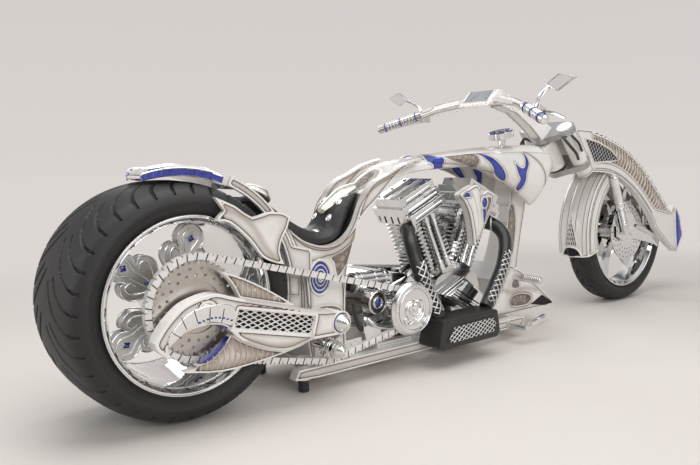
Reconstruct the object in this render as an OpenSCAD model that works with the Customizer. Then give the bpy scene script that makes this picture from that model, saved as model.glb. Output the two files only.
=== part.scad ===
// Long low custom motorcycle on its two parking legs. Millimetres, +X forward, +Y left, +Z up.
// Every outline is measured from the point on the floor under the rear axle, then moved so that
// the part stands centred over the origin.

/* [Wheels] */
// Distance between the axles
wheelbase = 2400; // [2380:5:2420]
// Rear tyre outer radius
rear_r = 336.5; // [334:0.5:339]
// Rear tyre width
rear_w = 360; // [350:2:364]
// Front tyre outer radius
front_r = 350; // [346:1:352]
// Front tyre width
front_w = 130; // [120:2:136]
// Rear rim flange radius
rear_rim = 246; // [242:1:250]
// Front rim flange radius
front_rim = 278; // [274:1:282]
// Rear axle radius
rear_axle_r = 20; // [18:0.5:22]
// Front axle radius
front_axle_r = 12; // [10:0.5:14]
// Running clearance at axles, stem and legs
fit = 0.4; // [0.3:0.1:0.6]
// Number of leaf spokes in the rear wheel
rear_spokes = 5; // [4:1:6]
// Number of blade spokes in the front wheel
front_spokes = 6; // [5:1:7]

/* [Frame] */
// Half width of the backbone
spine_hw = 92; // [88:1:94]
// Outer face of the middle panels
panel_y = 120; // [116:1:124]
// Inner face of the lower rails
rail_in = 132; // [130:1:134]
// Outer face of the lower rails
rail_out = 168; // [164:1:170]
// Bottom of the lower rails
rail_z0 = 48; // [44:1:52]
// Top of the lower rails
rail_z1 = 84; // [80:1:88]
// Half width of the front downtube
down_hw = 42; // [38:1:46]

/* [Steering] */
// Rake of the steering axis from upright
rake = 39; // [38:0.5:40]
// Height of the middle of the steering head
head_z = 733; // [730:1:736]
// Steering head set back from the front axle
head_back = 563; // [558:1:568]
// Fork tubes ahead of the steering axis
yoke_offset = 45; // [42:1:48]
// Fork tube spacing from the middle
fork_y = 95; // [93:1:97]
// Fork tube radius
fork_r = 34; // [30:1:36]
// Depth of the recess in the sides of the front arch
web_depth = 10; // [6:1:14]

/* [Engine] */
// Crank centre ahead of the rear axle
crank_x = 1115; // [1110:1:1120]
// Crank centre height
crank_z = 205; // [203:1:208]
// Half angle of the vee
vee = 25; // [24:0.5:26]
// Number of fins on each barrel
fins = 12; // [9:1:13]

/* [Drive] */
// Rear sprocket pitch radius
chain_r1 = 138; // [134:1:140]
// Front sprocket pitch radius
chain_r2 = 58; // [54:1:62]
// Idler pitch radius
chain_r3 = 42; // [38:1:46]
// Middle plane of the chain
chain_y = -196; // [-198:1:-195]
// Number of chain links
links = 76; // [60:2:90]

/* [Parking legs] */
// Legs ahead of the rear axle
leg_x = 388; // [384:1:392]
// Legs from the middle
leg_y = 127; // [124:1:130]
// Leg radius
leg_r = 17; // [15:0.5:19]

/* [Hidden] */
$fn = 48;
grow = wheelbase - 2400;
tip_x = wheelbase + 453.5;
x_mid = (tip_x - rear_r) / 2;
head_x = wheelbase - head_back;
front_ax = wheelbase;
front_clear = front_r + 14;
chain_h = 10;
chain_w = 20;
front_sp = [770, 222];
idler = [435, 147];
pivot = [437, 236];
barrel_top = 345;
deck = 125;
white = [0.93, 0.91, 0.88];
chrome = [0.84, 0.84, 0.86];
steel = [0.75, 0.75, 0.77];
black = [0.05, 0.05, 0.05];
blue = [0.05, 0.08, 0.45];

// The wheelbase stretches the frame between the engine and the neck.
function sx(x) = x + grow * max(0, min(1, (x - 1400) / 300));
// One piece of a smooth curve through a, b, c and d, between b and c.
function cr(a, b, c, d, t) = ((2 * t * t - t * t * t - t) * a + (3 * t * t * t - 5 * t * t + 2) * b
  + (4 * t * t - 3 * t * t * t + t) * c + (t * t * t - t * t) * d) / 2;
// A smooth curve through a few points, n steps between each two.
function smooth(p, n = 4) = concat(
  [for (i = [0:len(p) - 2]) for (k = [0:n - 1])
    cr(p[max(i - 1, 0)], p[i], p[i + 1], p[min(i + 2, len(p) - 1)], k / n)],
  [p[len(p) - 1]]);
// The same, closed on itself.
function closed(p, n = 4) = let (m = len(p)) [for (i = [0:m - 1]) for (k = [0:n - 1])
  cr(p[(i + m - 1) % m], p[i], p[(i + 1) % m], p[(i + 2) % m], k / n)];
function shifted(p, d) = [for (q = p) q + d];
function turned_back(p) = [for (i = [len(p) - 1:-1:0]) p[i]];
// Half an outline above the axis, completed by its mirror image.
function mirrored(p) = concat(p, [for (q = turned_back(p)) [q[0], -q[1]]]);
function unit(v) = v / norm(v);
function polar(r, a) = r * [cos(a), sin(a)];
function arc2(c, r, a0, a1, n) = [for (i = [0:n]) c + polar(r, a0 + (a1 - a0) * i / n)];
// Points beside a line of points, d to its left.
function beside(p, d) = [for (i = [0:len(p) - 1])
  let (t = unit(p[min(i + 1, len(p) - 1)] - p[max(i - 1, 0)])) p[i] + d * [-t[1], t[0]]];
// Rounded box ring for lofts that run along X: top, right, bottom, left.
function ring_x(x, hw, zb, zt, n = 12, k = 0.6) = [for (i = [0:n - 1])
  let (s = sin(360 * i / n), c = cos(360 * i / n))
  [sx(x), -hw * sign(s) * pow(abs(s), k), (zt + zb) / 2 + (zt - zb) / 2 * sign(c) * pow(abs(c), k)]];
// Rounded box ring for lofts that run along Y.
function ring_y(y, x, z, hx, hz, n = 10, k = 0.75) = [for (i = [0:n - 1])
  let (s = sin(360 * i / n), c = cos(360 * i / n))
  [x + hx * sign(s) * pow(abs(s), k), y, z + hz * sign(c) * pow(abs(c), k)]];

// Every piece is moved so that the whole stands over the origin.
module placed() {
  translate([-x_mid, 0, 0]) children();
}
// A side outline in X and Z made into a plate between y0 and y1.
module plate(p, y0, y1) {
  translate([0, y1, 0]) rotate([90, 0, 0]) linear_extrude(y1 - y0) polygon(p);
}
module side(p, y0, y1) {
  plate([for (q = p) [sx(q[0]), q[1]]], y0, y1);
}
// The same piece on both sides.
module both() {
  children();
  mirror([0, 1, 0]) children();
}
// A turned profile of radius and Y about an axle.
module turned(p, x, z, a = 360) {
  translate([x, 0, z]) rotate([-90, 0, 0]) rotate_extrude(angle = a, $fn = 96) polygon(p);
}
// A round bar along Y.
module bar_y(x, z, r, y0, y1) {
  translate([x, y0, z]) rotate([-90, 0, 0]) cylinder(r = r, h = y1 - y0);
}
// A closed skin over rings of equal count.
module loft(r) {
  n = len(r[0]);
  m = len(r);
  polyhedron(points = [for (a = r) for (p = a) p],
    faces = concat([[for (i = [0:n - 1]) i]],
      [for (j = [0:m - 2]) for (i = [0:n - 1]) for (h = [0, 1]) h == 0
        ? [j * n + i, (j + 1) * n + i, (j + 1) * n + (i + 1) % n]
        : [j * n + i, (j + 1) * n + (i + 1) % n, j * n + (i + 1) % n]],
      [[for (i = [n - 1:-1:0]) (m - 1) * n + i]]));
}
// A round tube swept along a path; up is any direction the path never follows.
module tube(p, r, n = 10, up = [0, 1, 0]) {
  m = len(p);
  loft([for (j = [0:m - 1])
    let (t = unit(p[min(j + 1, m - 1)] - p[max(j - 1, 0)]), a = unit(cross(t, up)), b = cross(a, t))
    [for (i = [0:n - 1])
      p[j] + (is_list(r) ? r[j] : r) * (cos(360 * i / n) * a - sin(360 * i / n) * b)]]);
}
// The steering axis as the upright axis of a local frame, X pointing ahead.
module head_frame() {
  translate([head_x, 0, head_z]) rotate([0, -rake, 0]) children();
}
// One cylinder of the engine as the upright axis of a local frame.
module vee_frame(a) {
  translate([crank_x, 0, crank_z]) rotate([0, a + 1, 0]) children();
}

// Backbone stations: x, bottom, top.
spine = [[690, 560, 612], [764, 618, 668], [828, 652, 704], [900, 668, 720], [1000, 676, 734],
  [1134, 682, 748], [1306, 686, 764], [1491, 676, 772], [1700, 668, 776]];
// Backbone section: share of the half width and of the height.
spine_ring = [[0, 1], [-0.55, 0.9], [-1, 0.55], [-1, 0.15], [-0.8, 0], [0.8, 0], [1, 0.15], [1, 0.55],
  [0.55, 0.9]];
module spine_body() {
  loft([for (s = spine)
    [for (q = spine_ring) [sx(s[0]), spine_hw * q[0], s[1] + (s[2] - s[1]) * q[1]]]]);
}
module frame_spine() placed() color(white) spine_body();

down_front = [[1640, 664], [1610, 517], [1578, 370], [1547, 201], [1530, rail_z0]];
down_rear = [[1412, rail_z0], [1416, 217], [1466, 358], [1497, 481], [1520, 664]];
// Cross members: start, end, top.
crossings = [[425, 565, rail_z1], [690, 850, 100], [1000, 1230, 92], [1395, 1440, rail_z1]];
rail_line = [[330, rail_z0 + 6], [345, rail_z1], [1440, rail_z1], [1440, rail_z0], [420, rail_z0]];
module downtube() {
  side(concat(smooth(down_front), smooth(down_rear)), -down_hw, down_hw);
}
module frame_cradle() placed() color(white) difference() {
  union() {
    downtube();
    both() side(rail_line, -rail_out, -rail_in);
    for (c = crossings)
      translate([c[0], -rail_in - 2, rail_z0]) cube([c[1] - c[0], 2 * rail_in + 4, c[2] - rail_z0]);
    both() translate([leg_x, -leg_y, 40]) cylinder(r1 = leg_r + 6, r2 = leg_r + 10, h = 70);
  }
  both() translate([leg_x, -leg_y, 30]) cylinder(r = leg_r + fit, h = 90);
}
gusset = [[1700, 676], [1700, 768], [1790, 800], [1850, 760], [1890, 690], [1800, 676]];
module steering_head() placed() color(white) difference() {
  union() {
    intersection() {
      side(gusset, -40, 40);
      head_frame() translate([-400, -100, -72]) cube([420, 200, 144]);
    }
    head_frame() translate([0, 0, -72]) cylinder(r = 42, h = 144);
  }
  head_frame() translate([0, 0, -120]) cylinder(r = 26 + fit, h = 240);
}
// Tank lobe stations: x, bottom, top, bulge.
lobe = [[1000, 705, 720, 4], [1060, 698, 728, 18], [1227, 690, 738, 34], [1340, 640, 742, 44],
  [1464, 585, 744, 52], [1560, 520, 744, 52], [1630, 560, 742, 44], [1700, 650, 735, 22]];
// Tank lobe section: share of the bulge and of the height.
lobe_ring = [[0, 1], [0.6, 0.9], [1, 0.6], [0.85, 0.2], [0.3, 0], [0, 0]];
module tank() placed() color(white) both() loft([for (s = lobe)
  [for (q = lobe_ring) [sx(s[0]), -spine_hw - s[3] * q[0], s[1] + (s[2] - s[1]) * q[1]]]]);

panel_top = [[339, 527], [368, 501], [415, 470], [488, 450], [553, 460], [607, 503], [645, 580],
  [690, 640], [764, 672], [830, 702], [914, 722]];
panel_low = [[914, 706], [822, 681], [712, 592], [641, 532], [600, 440], [575, 360], [564, 240],
  [566, rail_z1]];
panel_back = [[425, rail_z1], [412, 180], [420, 290], [404, 380], [375, 450]];
// The thinner wedge between the panel and the tyre follows the tyre.
tyre_gap = rear_r + 14;
wedge = concat([[425, 120]], arc2([0, rear_r], tyre_gap, -8, 33, 8), [[345, 522], [420, 440]]);
module side_panels() placed() color(white) both() {
  side(concat(smooth(panel_top), smooth(panel_low), smooth(panel_back)), -panel_y, -spine_hw);
  plate(wedge, 12 - panel_y, -spine_hw);
}
seat_line = [[268, 612], [300, 560], [344, 508], [406, 468], [482, 444], [555, 455], [600, 497],
  [640, 560], [690, 606]];
module pan_body() {
  line = smooth(seat_line);
  side(concat(line, shifted(turned_back(line), [0, -14])), -spine_hw, spine_hw);
}
module seat_pan() placed() color([0.15, 0.15, 0.16]) pan_body();
// Seat pad stations along the seat line: half width and thickness.
pad = [[52, 22], [66, 44], [80, 54], [88, 52], [88, 46], [88, 44], [86, 46], [76, 40], [46, 12]];
// Seat pad section: share of the half width and of the thickness.
pad_ring = [[0, 1], [-0.7, 0.9], [-1, 0.5], [-1, 0.01], [1, 0.01], [1, 0.5], [0.7, 0.9]];
module pad_body() {
  line = smooth(seat_line, 2);
  size = smooth(pad, 2);
  last = len(line) - 1;
  loft([for (i = [0:last])
    let (t = unit(line[min(i + 1, last)] - line[max(i - 1, 0)]), c = line[i])
    [for (q = pad_ring) let (h = q[1] * size[i][1])
      [c[0] - t[1] * h, q[0] * size[i][0], c[1] + t[0] * h]]]);
}
module seat_pad() placed() color(black) difference() {
  pad_body();
  pan_body();
}
// Metal saddle horn at the nose and metal cap on the backrest.
horn = [[556, 552], [595, 606], [670, 644], [730, 668], [752, 668], [700, 620], [660, 590], [600, 556]];
cap = [[248, 622], [256, 648], [290, 652], [352, 618], [368, 580], [330, 590], [300, 572]];
module seat_trim() placed() color([0.8, 0.79, 0.74]) difference() {
  union() {
    side(horn, -40, 40);
    side(cap, -56, 56);
  }
  pad_body();
  pan_body();
  spine_body();
}

// Tail stations: x, half width, bottom, top.
tail = [[-116, 96, 678, 684], [-70, 106, 668, 708], [20, 108, 660, 720], [100, 104, 650, 712],
  [160, 70, 640, 690], [200, 40, 640, 668]];
module tail_shell() {
  difference() {
    loft([for (s = tail) ring_x(s[0], s[1], s[2], s[3], 10, 0.7)]);
    bar_y(0, rear_r, rear_r + 12, -200, 200);
  }
}
strut = [0, rear_r] + polar(rear_r + 25, 60);
module tail_fender() placed() color(white) {
  tail_shell();
  bar_y(strut[0], strut[1], 9, -panel_y, panel_y);
}
lamp_line = concat(arc2([0, rear_r], tyre_gap + 1, 107, 68, 6), arc2([0, rear_r], tyre_gap + 18, 68, 107, 6));
module tail_lamps() placed() color(blue) difference() {
  both() side(lamp_line, -116, -96);
  tail_shell();
}
// Hoop beside the tyre's front, with the pointed blade that it carries outside the tyre.
blade_top = [[62, 628], [122, 601], [176, 566], [230, 578], [302, 562], [272, 500], [262, 462], [277, 424]];
blade_low = [[250, 430], [206, 452], [164, 505], [105, 556], [66, 566], [88, 590]];
hoop_y = panel_y + 14;
module tail_hoop() placed() color(white) both() {
  plate(concat(arc2([0, rear_r], rear_r + 12, 66, 8, 12), [[424, rear_r + 30], [424, rear_r + 110]],
    arc2([0, rear_r], rear_r + 40, 20, 66, 10)), -hoop_y, -panel_y);
  bar_y(281, 559, 9, -190, -hoop_y + 1);
  side(concat(smooth(blade_top, 2), smooth(blade_low, 3)), -204, -189);
}

claw_out = [[-106, 225], [-138, 252], [-146, 275], [-127, 306], [-99, 335], [-66, 360], [-20, 375],
  [28, 379], [91, 359], [261, 312], [360, 283], [437, 272], [472, 236], [437, 200]];
claw_in = [[337, 202], [295, 194], [244, 186], [178, 201], [100, 239], [71, 267], [40, 288], [1, 299],
  [-42, 296], [-84, 281], [-113, 259]];
claw = concat(smooth(claw_out, 3), smooth(claw_in, 3));
grille = [[92, 328], [345, 270], [330, 218], [76, 278]];
module swingarm() placed() color(white) difference() {
  union() {
    side(claw, -262, -216);
    bar_y(pivot[0], pivot[1], 26, -217, -panel_y);
  }
  side(grille, -300, -200);
  bar_y(0, rear_r, rear_axle_r, -300, -200);
}
wing_low = concat(smooth([[-68, 184], [-35, 190], [24, 221], [75, 258]], 3),
  smooth([[130, 240], [296, 200], [296, 185], [161, 167], [42, 163], [-60, 180]], 3));
wing_up = concat(smooth([[38, 439], [117, 407], [195, 365], [282, 310]], 3), [[250, 300], [100, 340]],
  smooth([[104, 354], [80, 400], [46, 434]], 3));
module swingarm_wings() placed() color([0.85, 0.82, 0.78]) difference() {
  union() {
    side(wing_low, -246, -222);
    side(wing_up, -246, -222);
  }
  side(claw, -300, -200);
}
// Lattice bars: number, pitch, lean, width.
lattice = [17, 20, 32, 4];
module swingarm_grille() placed() color([0.95, 0.94, 0.92])
  translate([0, -236, 0]) rotate([90, 0, 0]) linear_extrude(14) intersection() {
    polygon(grille);
    for (i = [0:lattice[0] - 1], s = [-1, 1])
      translate([60 + i * lattice[1], 270]) rotate(s * lattice[2] - 13)
        square([400, lattice[3]], center = true);
  }
insert = [[-112, 262], [-112, 290], [-60, 338], [0, 352], [70, 342], [72, 290], [1, 310], [-60, 298]];
bullet = [[0, -300], [6, -298], [16, -286], [26, -270], [28, -262], [0, -262]];
module swingarm_trim() placed() color(chrome) {
  side(smooth(insert, 3), -268, -262);
  turned(bullet, pivot[0], pivot[1]);
}
module rear_axle() placed() color(chrome) bar_y(0, rear_r, rear_axle_r, -262, 76);

// The circles that the chain runs round, as x, z, radius, in the order it meets them.
rounds = [[0, rear_r, chain_r1], [idler[0], idler[1], chain_r3], [front_sp[0], front_sp[1], chain_r2]];
function mid(i) = [rounds[i % 3][0], rounds[i % 3][1]];
function rad(i) = rounds[i % 3][2];
// Direction from circle i to the straight run that leaves it.
function leave(i) = let (d = mid(i + 1) - mid(i)) atan2(d[1], d[0]) - acos((rad(i) - rad(i + 1)) / norm(d));
function bend(i) = (leave(i) - leave(i + 2) + 720) % 360;
function bend_len(i) = rad(i) * bend(i) * PI / 180;
function run_len(i) = sqrt(pow(norm(mid(i + 1) - mid(i)), 2) - pow(rad(i) - rad(i + 1), 2));
chain_len = bend_len(0) + run_len(0) + bend_len(1) + run_len(1) + bend_len(2) + run_len(2);
// Place and direction at a length s along the chain.
function chain_at(s, i = 0) = s < bend_len(i)
  ? let (a = leave(i + 2) + s / rad(i) * 180 / PI) [mid(i) + polar(rad(i), a), a + 90]
  : s < bend_len(i) + run_len(i)
    ? [mid(i) + polar(rad(i), leave(i)) + polar(s - bend_len(i), leave(i) + 90), leave(i) + 90]
    : chain_at(s - bend_len(i) - run_len(i), i + 1);
module chain_shape(d) {
  hull() for (w = rounds) translate([w[0], w[1]]) circle(r = w[2] + d, $fn = 72);
}
module chain_band(d0, d1) {
  translate([0, chain_y + chain_w / 2, 0]) rotate([90, 0, 0]) linear_extrude(chain_w) difference() {
    chain_shape(d1);
    chain_shape(d0);
  }
}
module chain() placed() color(steel) chain_band(1 - chain_h, 3);
// Link plates stand on the band with a gap between each two.
link_gap = 5;
module chain_links() placed() color([0.92, 0.9, 0.86])
  translate([0, chain_y + chain_w / 2, 0]) rotate([90, 0, 0]) linear_extrude(chain_w) difference() {
    chain_shape(chain_h);
    chain_shape(3);
    for (k = [0:links - 1]) let (c = chain_at((k + 0.5) * chain_len / links))
      translate(c[0]) rotate(c[1]) translate([-link_gap / 2, -25]) square([link_gap, 20]);
  }
module toothed(c, r, y0, y1, bore, teeth) {
  plate_pts = [for (i = [0:4 * teeth - 1]) polar(i % 4 < 2 ? r : r - 7, 90 * i / teeth)];
  translate([c[0], y1, c[1]]) rotate([90, 0, 0]) linear_extrude(y1 - y0) difference() {
    polygon(plate_pts);
    circle(r = bore);
  }
}
idler_line = [[0, -278], [6, -276], [18, -262], [26, -240], [28, -216], [14, -210], [12, -206],
  [12, -panel_y], [0, -panel_y]];
module drive_sprockets() placed() color(steel) {
  toothed(front_sp, chain_r2 - chain_h + 0.8, chain_y - 4, chain_y + 4, 18, 18);
  toothed(idler, chain_r3 - chain_h + 0.8, chain_y - 4, chain_y + 4, 12, 14);
  turned(idler_line, idler[0], idler[1]);
}
cover_line = [[0, -236], [60, -236], [84, -230], [92, -220], [92, -214], [0, -214]];
module sprocket_cover() placed() color(chrome) {
  turned(cover_line, front_sp[0], front_sp[1]);
  for (a = [-45, 0, 45]) let (c = front_sp + polar(81, a)) bar_y(c[0], c[1], 8, -214, -120);
}
gearbox = [[898, 130], [905, 220], [860, 310], [740, 330], [650, 290], [640, 180], [648, 130]];
module transmission() placed() color(steel) {
  side(concat([[660, 100], [888, 100]], smooth(gearbox)), -120, 105);
  bar_y(front_sp[0], front_sp[1], 18, chain_y - 8, -119);
  // Starter end
  bar_y(672, 247, 40, -160, -119);
}
module primary_cover() placed() color(chrome)
  translate([0, 160, 0]) rotate([90, 0, 0]) linear_extrude(55) hull() {
    translate([crank_x, crank_z]) circle(r = 92);
    translate([front_sp[0] + 20, front_sp[1]]) circle(r = 110);
  }

// A point of the engine's side view, across and along a cylinder's axis.
function vee_pt(a, u, v) = [crank_x, crank_z] + u * [cos(a + 1), -sin(a + 1)] + v * [sin(a + 1), cos(a + 1)];
function vee_box(a, u, v0, v1) = [vee_pt(a, -u, v0), vee_pt(a, -u, v1), vee_pt(a, u, v1), vee_pt(a, u, v0)];
case_line = [[121, -85], [130, -15], [100, 75], [0, 95], [-105, 75], [-130, -15], [-121, -85]];
module crankcase() placed() color(steel) {
  plate(concat([[crank_x - 103, 92], [crank_x + 103, 92]],
    shifted(smooth(case_line), [crank_x, crank_z])), -105, 105);
  plate([vee_pt(-vee, -66, 50), vee_pt(-vee, -66, deck), vee_pt(0, 0, deck / cos(vee)),
    vee_pt(vee, 66, deck), vee_pt(vee, 66, 50)], -66, 66);
  // Tappet blocks
  for (s = [-1, 1]) plate(vee_box(s * vee, 30, 55, deck - 2), -102, -60);
}
fin_pitch = 200 / fins;
// One fin and its gap: radius and share of the pitch.
fin = [[100, 0], [100, 0.45], [64, 0.45], [64, 1]];
barrel = concat([[0, deck + 0.3], [62, deck + 0.3], [62, deck + 13]],
  [for (i = [0:fins - 1]) for (q = fin) [q[0], deck + 13 + (i + q[1]) * fin_pitch]],
  [[100, barrel_top - 7], [100, barrel_top], [0, barrel_top]]);
module cylinders() placed() color(steel) for (s = [-1, 1]) intersection() {
  vee_frame(s * vee) intersection() {
    rotate_extrude($fn = 72) polygon(barrel);
    translate([-76, -80, 100]) cube([152, 160, 300]);
  }
  vee_frame(0) translate([s < 0 ? -400 : 1.5, -200, 0]) cube([398.5, 400, 500]);
}
// Rocker box layers: half length, right face, left face, bottom, height.
rockers = [[92, -104, 84, 0, 36], [98, -86, 80, 36, 30], [88, -76, 70, 66, 34]];
module rocker_boxes() placed() color(chrome) for (s = [-1, 1]) vee_frame(s * vee) {
  for (b = rockers)
    translate([-b[0], b[1], barrel_top + b[3]]) cube([2 * b[0], b[2] - b[1], b[4]]);
  for (q = [-18, 18]) translate([q, -92, deck - 2]) cylinder(r = 9, h = barrel_top - deck + 3);
}
// Cam cover steps: outline about the crank, outer face, thickness.
cam_mid = [-13, -12];
cam_line = [[2, 75], [124, -13], [48, -75], [-118, 23]];
module cam_cover() placed() color(chrome) {
  for (c = [[1, -140, 35], [0.82, -160, 20]])
    plate([for (q = cam_line) [crank_x, crank_z] + cam_mid + (q - cam_mid) * c[0]], c[1], c[1] + c[2]);
}
module carburettor() placed() color(steel) difference() {
  union() {
    bar_y(crank_x + 8, 500, 28, -150, 20);
    translate([crank_x - 80, 0, 500]) rotate([0, 90, 0]) cylinder(r = 22, h = 176);
  }
  for (s = [-1, 1]) vee_frame(s * vee) translate([-76, -80, 100]) cube([152, 160, 300]);
}
shield = [[1036, 606], [1060, 632], [1120, 642], [1172, 626], [1188, 596], [1174, 520], [1130, 430],
  [1078, 470], [1050, 540]];
module air_cleaner() placed() color(white) side(closed(shield, 3), -190, -150);
rear_pipe = [[905, -60, 468], [872, -96, 462], [846, -140, 420], [850, -172, 340], [878, -190, 250],
  [905, -212, 172]];
front_pipe = [[1330, -60, 462], [1352, -100, 446], [1345, -145, 400], [1290, -182, 320],
  [1215, -204, 240], [1150, -215, 172]];
module exhaust_pipes() placed() color(black) {
  difference() {
    for (p = [rear_pipe, front_pipe]) tube(smooth(p, 3), 25, 12, [0.3, 0.2, 0.9]);
    // The pipes end at the heads and on the box.
    for (s = [-1, 1]) vee_frame(s * vee) {
      translate([-76.3, -80.3, 100]) cube([152.6, 160.6, 300]);
      translate([-92.3, -104.3, barrel_top - 0.3]) cube([184.6, 188.6, 60]);
    }
    box_body();
  }
}
box_line = [[846, 84], [870, 172], [1150, 172], [1166, 90], [1150, 70], [860, 70]];
module box_body() {
  side(box_line, -275, -rail_out);
}
module muffler_box() placed() color(black) box_body();
chin = [[1424, 290], [1374, 210], [1325, 150], [1300, rail_z1], [1660, rail_z1], [1722, 92], [1620, 170],
  [1560, 215], [1482, 262]];
module chin_fairing() placed() color(white) difference() {
  intersection() {
    side(smooth(chin, 3), -110, 110);
    translate([1000, -200, rail_z1]) cube([1000 + grow, 400, 400]);
  }
  downtube();
  side([[1200, 100], [1200, 240], [1416, 217], [1412, 60]], -95, 95);
  // Windows in the sides
  both() side(closed([[1440, 120], [1440, 150], [1500, 158], [1560, 140], [1540, 112]], 3), -200, -100);
}
module forward_controls() placed() color(chrome) both() {
  bar_y(1450, 236, 14, -240, -110);
  bar_y(1340, 66, 12, -262, -rail_out);
  side([[1336, 58], [1450, 84], [1470, 100], [1456, 104], [1330, 74]], -262, -246);
}
module stand_legs() placed() color(black) both() translate([leg_x, -leg_y, 0]) cylinder(r = leg_r, h = 70);
// Round gauge on a post on the backbone.
module gauge() placed() color(chrome) difference() {
  gauge_body();
  spine_body();
}
module gauge_body() translate([sx(1500), 0, 760]) {
  cylinder(r = 16, h = 44);
  translate([0, 0, 40]) rotate([0, -14, 0]) difference() {
    cylinder(r = 52, h = 26);
    translate([0, 0, 18]) cylinder(r = 42, h = 20);
  }
}

// Steered front end
module yoke_plates() head_frame() difference() {
  for (z = [-108, 80]) translate([0, 0, z]) linear_extrude(28) hull() {
    translate([-8, 0]) circle(r = 36);
    for (s = [-1, 1]) translate([yoke_offset, s * fork_y]) circle(r = fork_r + 8);
  }
  for (s = [-1, 1]) translate([yoke_offset, s * fork_y, -200]) cylinder(r = fork_r, h = 400);
}
module yokes() placed() color(chrome) {
  yoke_plates();
  head_frame() translate([0, 0, -112]) cylinder(r = 26, h = 220);
}
// The arch's upper and lower edges and its pointed nose, from the front axle.
arch_top = [[-540, 838], [-400, 832], [-259, 801], [-100, 745], [42, 661], [195, 542], [336, 422]];
nose = [[362, 456], [412, 401], [453.5, 292], [392, 211], [315, 255]];
arch_low = [[186, 349], [133, 419], [2, 525], [-138, 603], [-261, 640], [-400, 648]];
// The recess lies between a narrow upper lip and a broad lower arm.
web_top = [[-400, 832], [-259, 801], [-100, 745], [42, 661], [195, 542], [320, 436]];
web_low = [[205, 395], [133, 419], [2, 525], [-138, 603], [-261, 640], [-380, 648]];
web = concat(beside(smooth(web_top, 3), -16), [[270, 430]], beside(smooth(web_low, 3), -48));
hood = [[-500, 836], [-400, 832], [-259, 801], [-140, 760], [-150, 744], [-260, 782], [-400, 812], [-500, 816]];
arch_out = 112;
arch_in = 80;
module arch_side() {
  side(shifted(concat(smooth(arch_top, 3), nose, smooth(arch_low, 3)), [2400, 0]), -arch_out, -arch_in);
}
module front_beak() placed() color(white) difference() {
  union() {
    both() arch_side();
    both() head_frame() translate([yoke_offset, -fork_y, -150]) cylinder(r = fork_r, h = 262);
    side(shifted(hood, [2400, 0]), -81, 81);
  }
  yoke_plates();
  both() side(shifted(web, [2400, 0]), -200, web_depth - arch_out);
}
lens = [[366, 440], [408, 400], [448, 292], [396, 222], [380, 330]];
module beak_lamps() placed() color(blue) both() side(shifted(lens, [2400, 0]), -arch_out - 6, -arch_out);
module headlamp() placed() color(chrome) difference() {
  translate([front_ax - 300, 0, 722]) rotate([0, 60, 0]) cylinder(r1 = 30, r2 = 62, h = 40);
  side(shifted(hood, [2400, 0]), -81, 81);
}
fender_in = front_w / 2 + 6;
fender_out = 79.8;
skirt = 70;
// Fender section: radius beyond the clearance and half width.
fender_half = [[-skirt, fender_in], [-skirt, fender_out], [10, fender_out], [22, 56], [26, 26], [34, 8]];
fender_prof = concat([[front_clear, -fender_in], [front_clear, fender_in]],
  [for (q = fender_half) [front_clear + q[0], q[1]]],
  [for (q = turned_back(fender_half)) [front_clear + q[0], -q[1]]]);
module front_fender() placed() color(white)
  translate([front_ax, 0, front_r]) rotate([-90, 0, 0]) rotate([0, 0, 165])
    rotate_extrude(angle = 82, $fn = 96) polygon(fender_prof);
link_line = [[-112, -24], [-118, 60], [-70, 100], [40, 40], [250, -40], [290, -70], [262, -104], [220, -84],
  [30, -44], [-60, -48]];
// Brake calipers about the axle: the discs run in their slot.
caliper = concat(arc2([0, 0], 172, 168, 132, 6), arc2([0, 0], 96, 132, 168, 4));
slot = [[14, -67.5], [152, -67.5], [152, -51.5], [14, -51.5]];
module trailing_links() placed() color(chrome) difference() {
  union() {
    both() side(shifted(link_line, [2400, front_r]), -arch_in, -66);
    both() side(shifted(caliper, [2400, front_r]), -arch_in, -44);
    bar_y(front_ax, front_r, front_axle_r, -80, 80);
  }
  both() turned(slot, front_ax, front_r);
}
shock_y = 98;
shock_low = [front_ax - 80, -shock_y, front_r - 5];
shock_top = [front_ax - 206, -shock_y, front_r + 284];
module shocks() placed() color(chrome) both() {
  // The upper end meets the arch, and a pin holds the lower end on the link.
  difference() {
    tube([shock_top, (shock_top + shock_low) / 2, shock_low], 16, 12);
    arch_side();
  }
  bar_y(shock_low[0], shock_low[2], 9, -shock_y + 2, -arch_in);
}
// Winged handlebar stations: half span, x, z, half depth, half height.
bar_st = [[267, 1300, 905, 17, 17], [200, 1335, 926, 26, 17], [100, 1392, 946, 48, 18], [0, 1428, 954, 66, 20]];
module wing() {
  loft([for (i = [0:6]) let (k = i < 4 ? i : 6 - i, s = bar_st[k])
    ring_y(i < 4 ? -s[0] : s[0], s[1] + grow, s[2], s[3], s[4])]);
}
riser = [[1746, 785], [1812, 842], [1690, 895], [1560, 945], [1470, 962], [1440, 950], [1470, 925],
  [1560, 905], [1660, 850]];
module handlebar() placed() color(white) {
  wing();
  difference() {
    plate(shifted(riser, [grow, 0]), -32, 32);
    wing();
    head_frame() translate([-300, -200, -200]) cube([600, 400, 308]);
  }
}
grip_line = [[1300, -267, 905], [1250, -348, 875], [1200, -428, 845]];
lever_line = [[1360, -300, 885], [1330, -380, 872], [1280, -455, 850]];
stalk = [[1330, -299, 901], [1330, -299, 915], [1328, -316, 942], [1306, -380, 976]];
module grip_pair() {
  both() tube(shifted(grip_line, [grow, 0, 0]), [17, 18, 17], 12, [0, 0, 1]);
}
module grips() placed() color(chrome) difference() {
  grip_pair();
  wing();
}
module levers() placed() color(chrome) both() {
  tube(shifted(lever_line, [grow, 0, 0]), [10, 7, 6], 8, [0, 0, 1]);
  difference() {
    translate([1288 + grow, -312, 874]) cube([84, 26, 26]);
    grip_pair();
  }
}
kite = [[-410, 1008], [-480, 992], [-405, 950], [-360, 976]];
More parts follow.
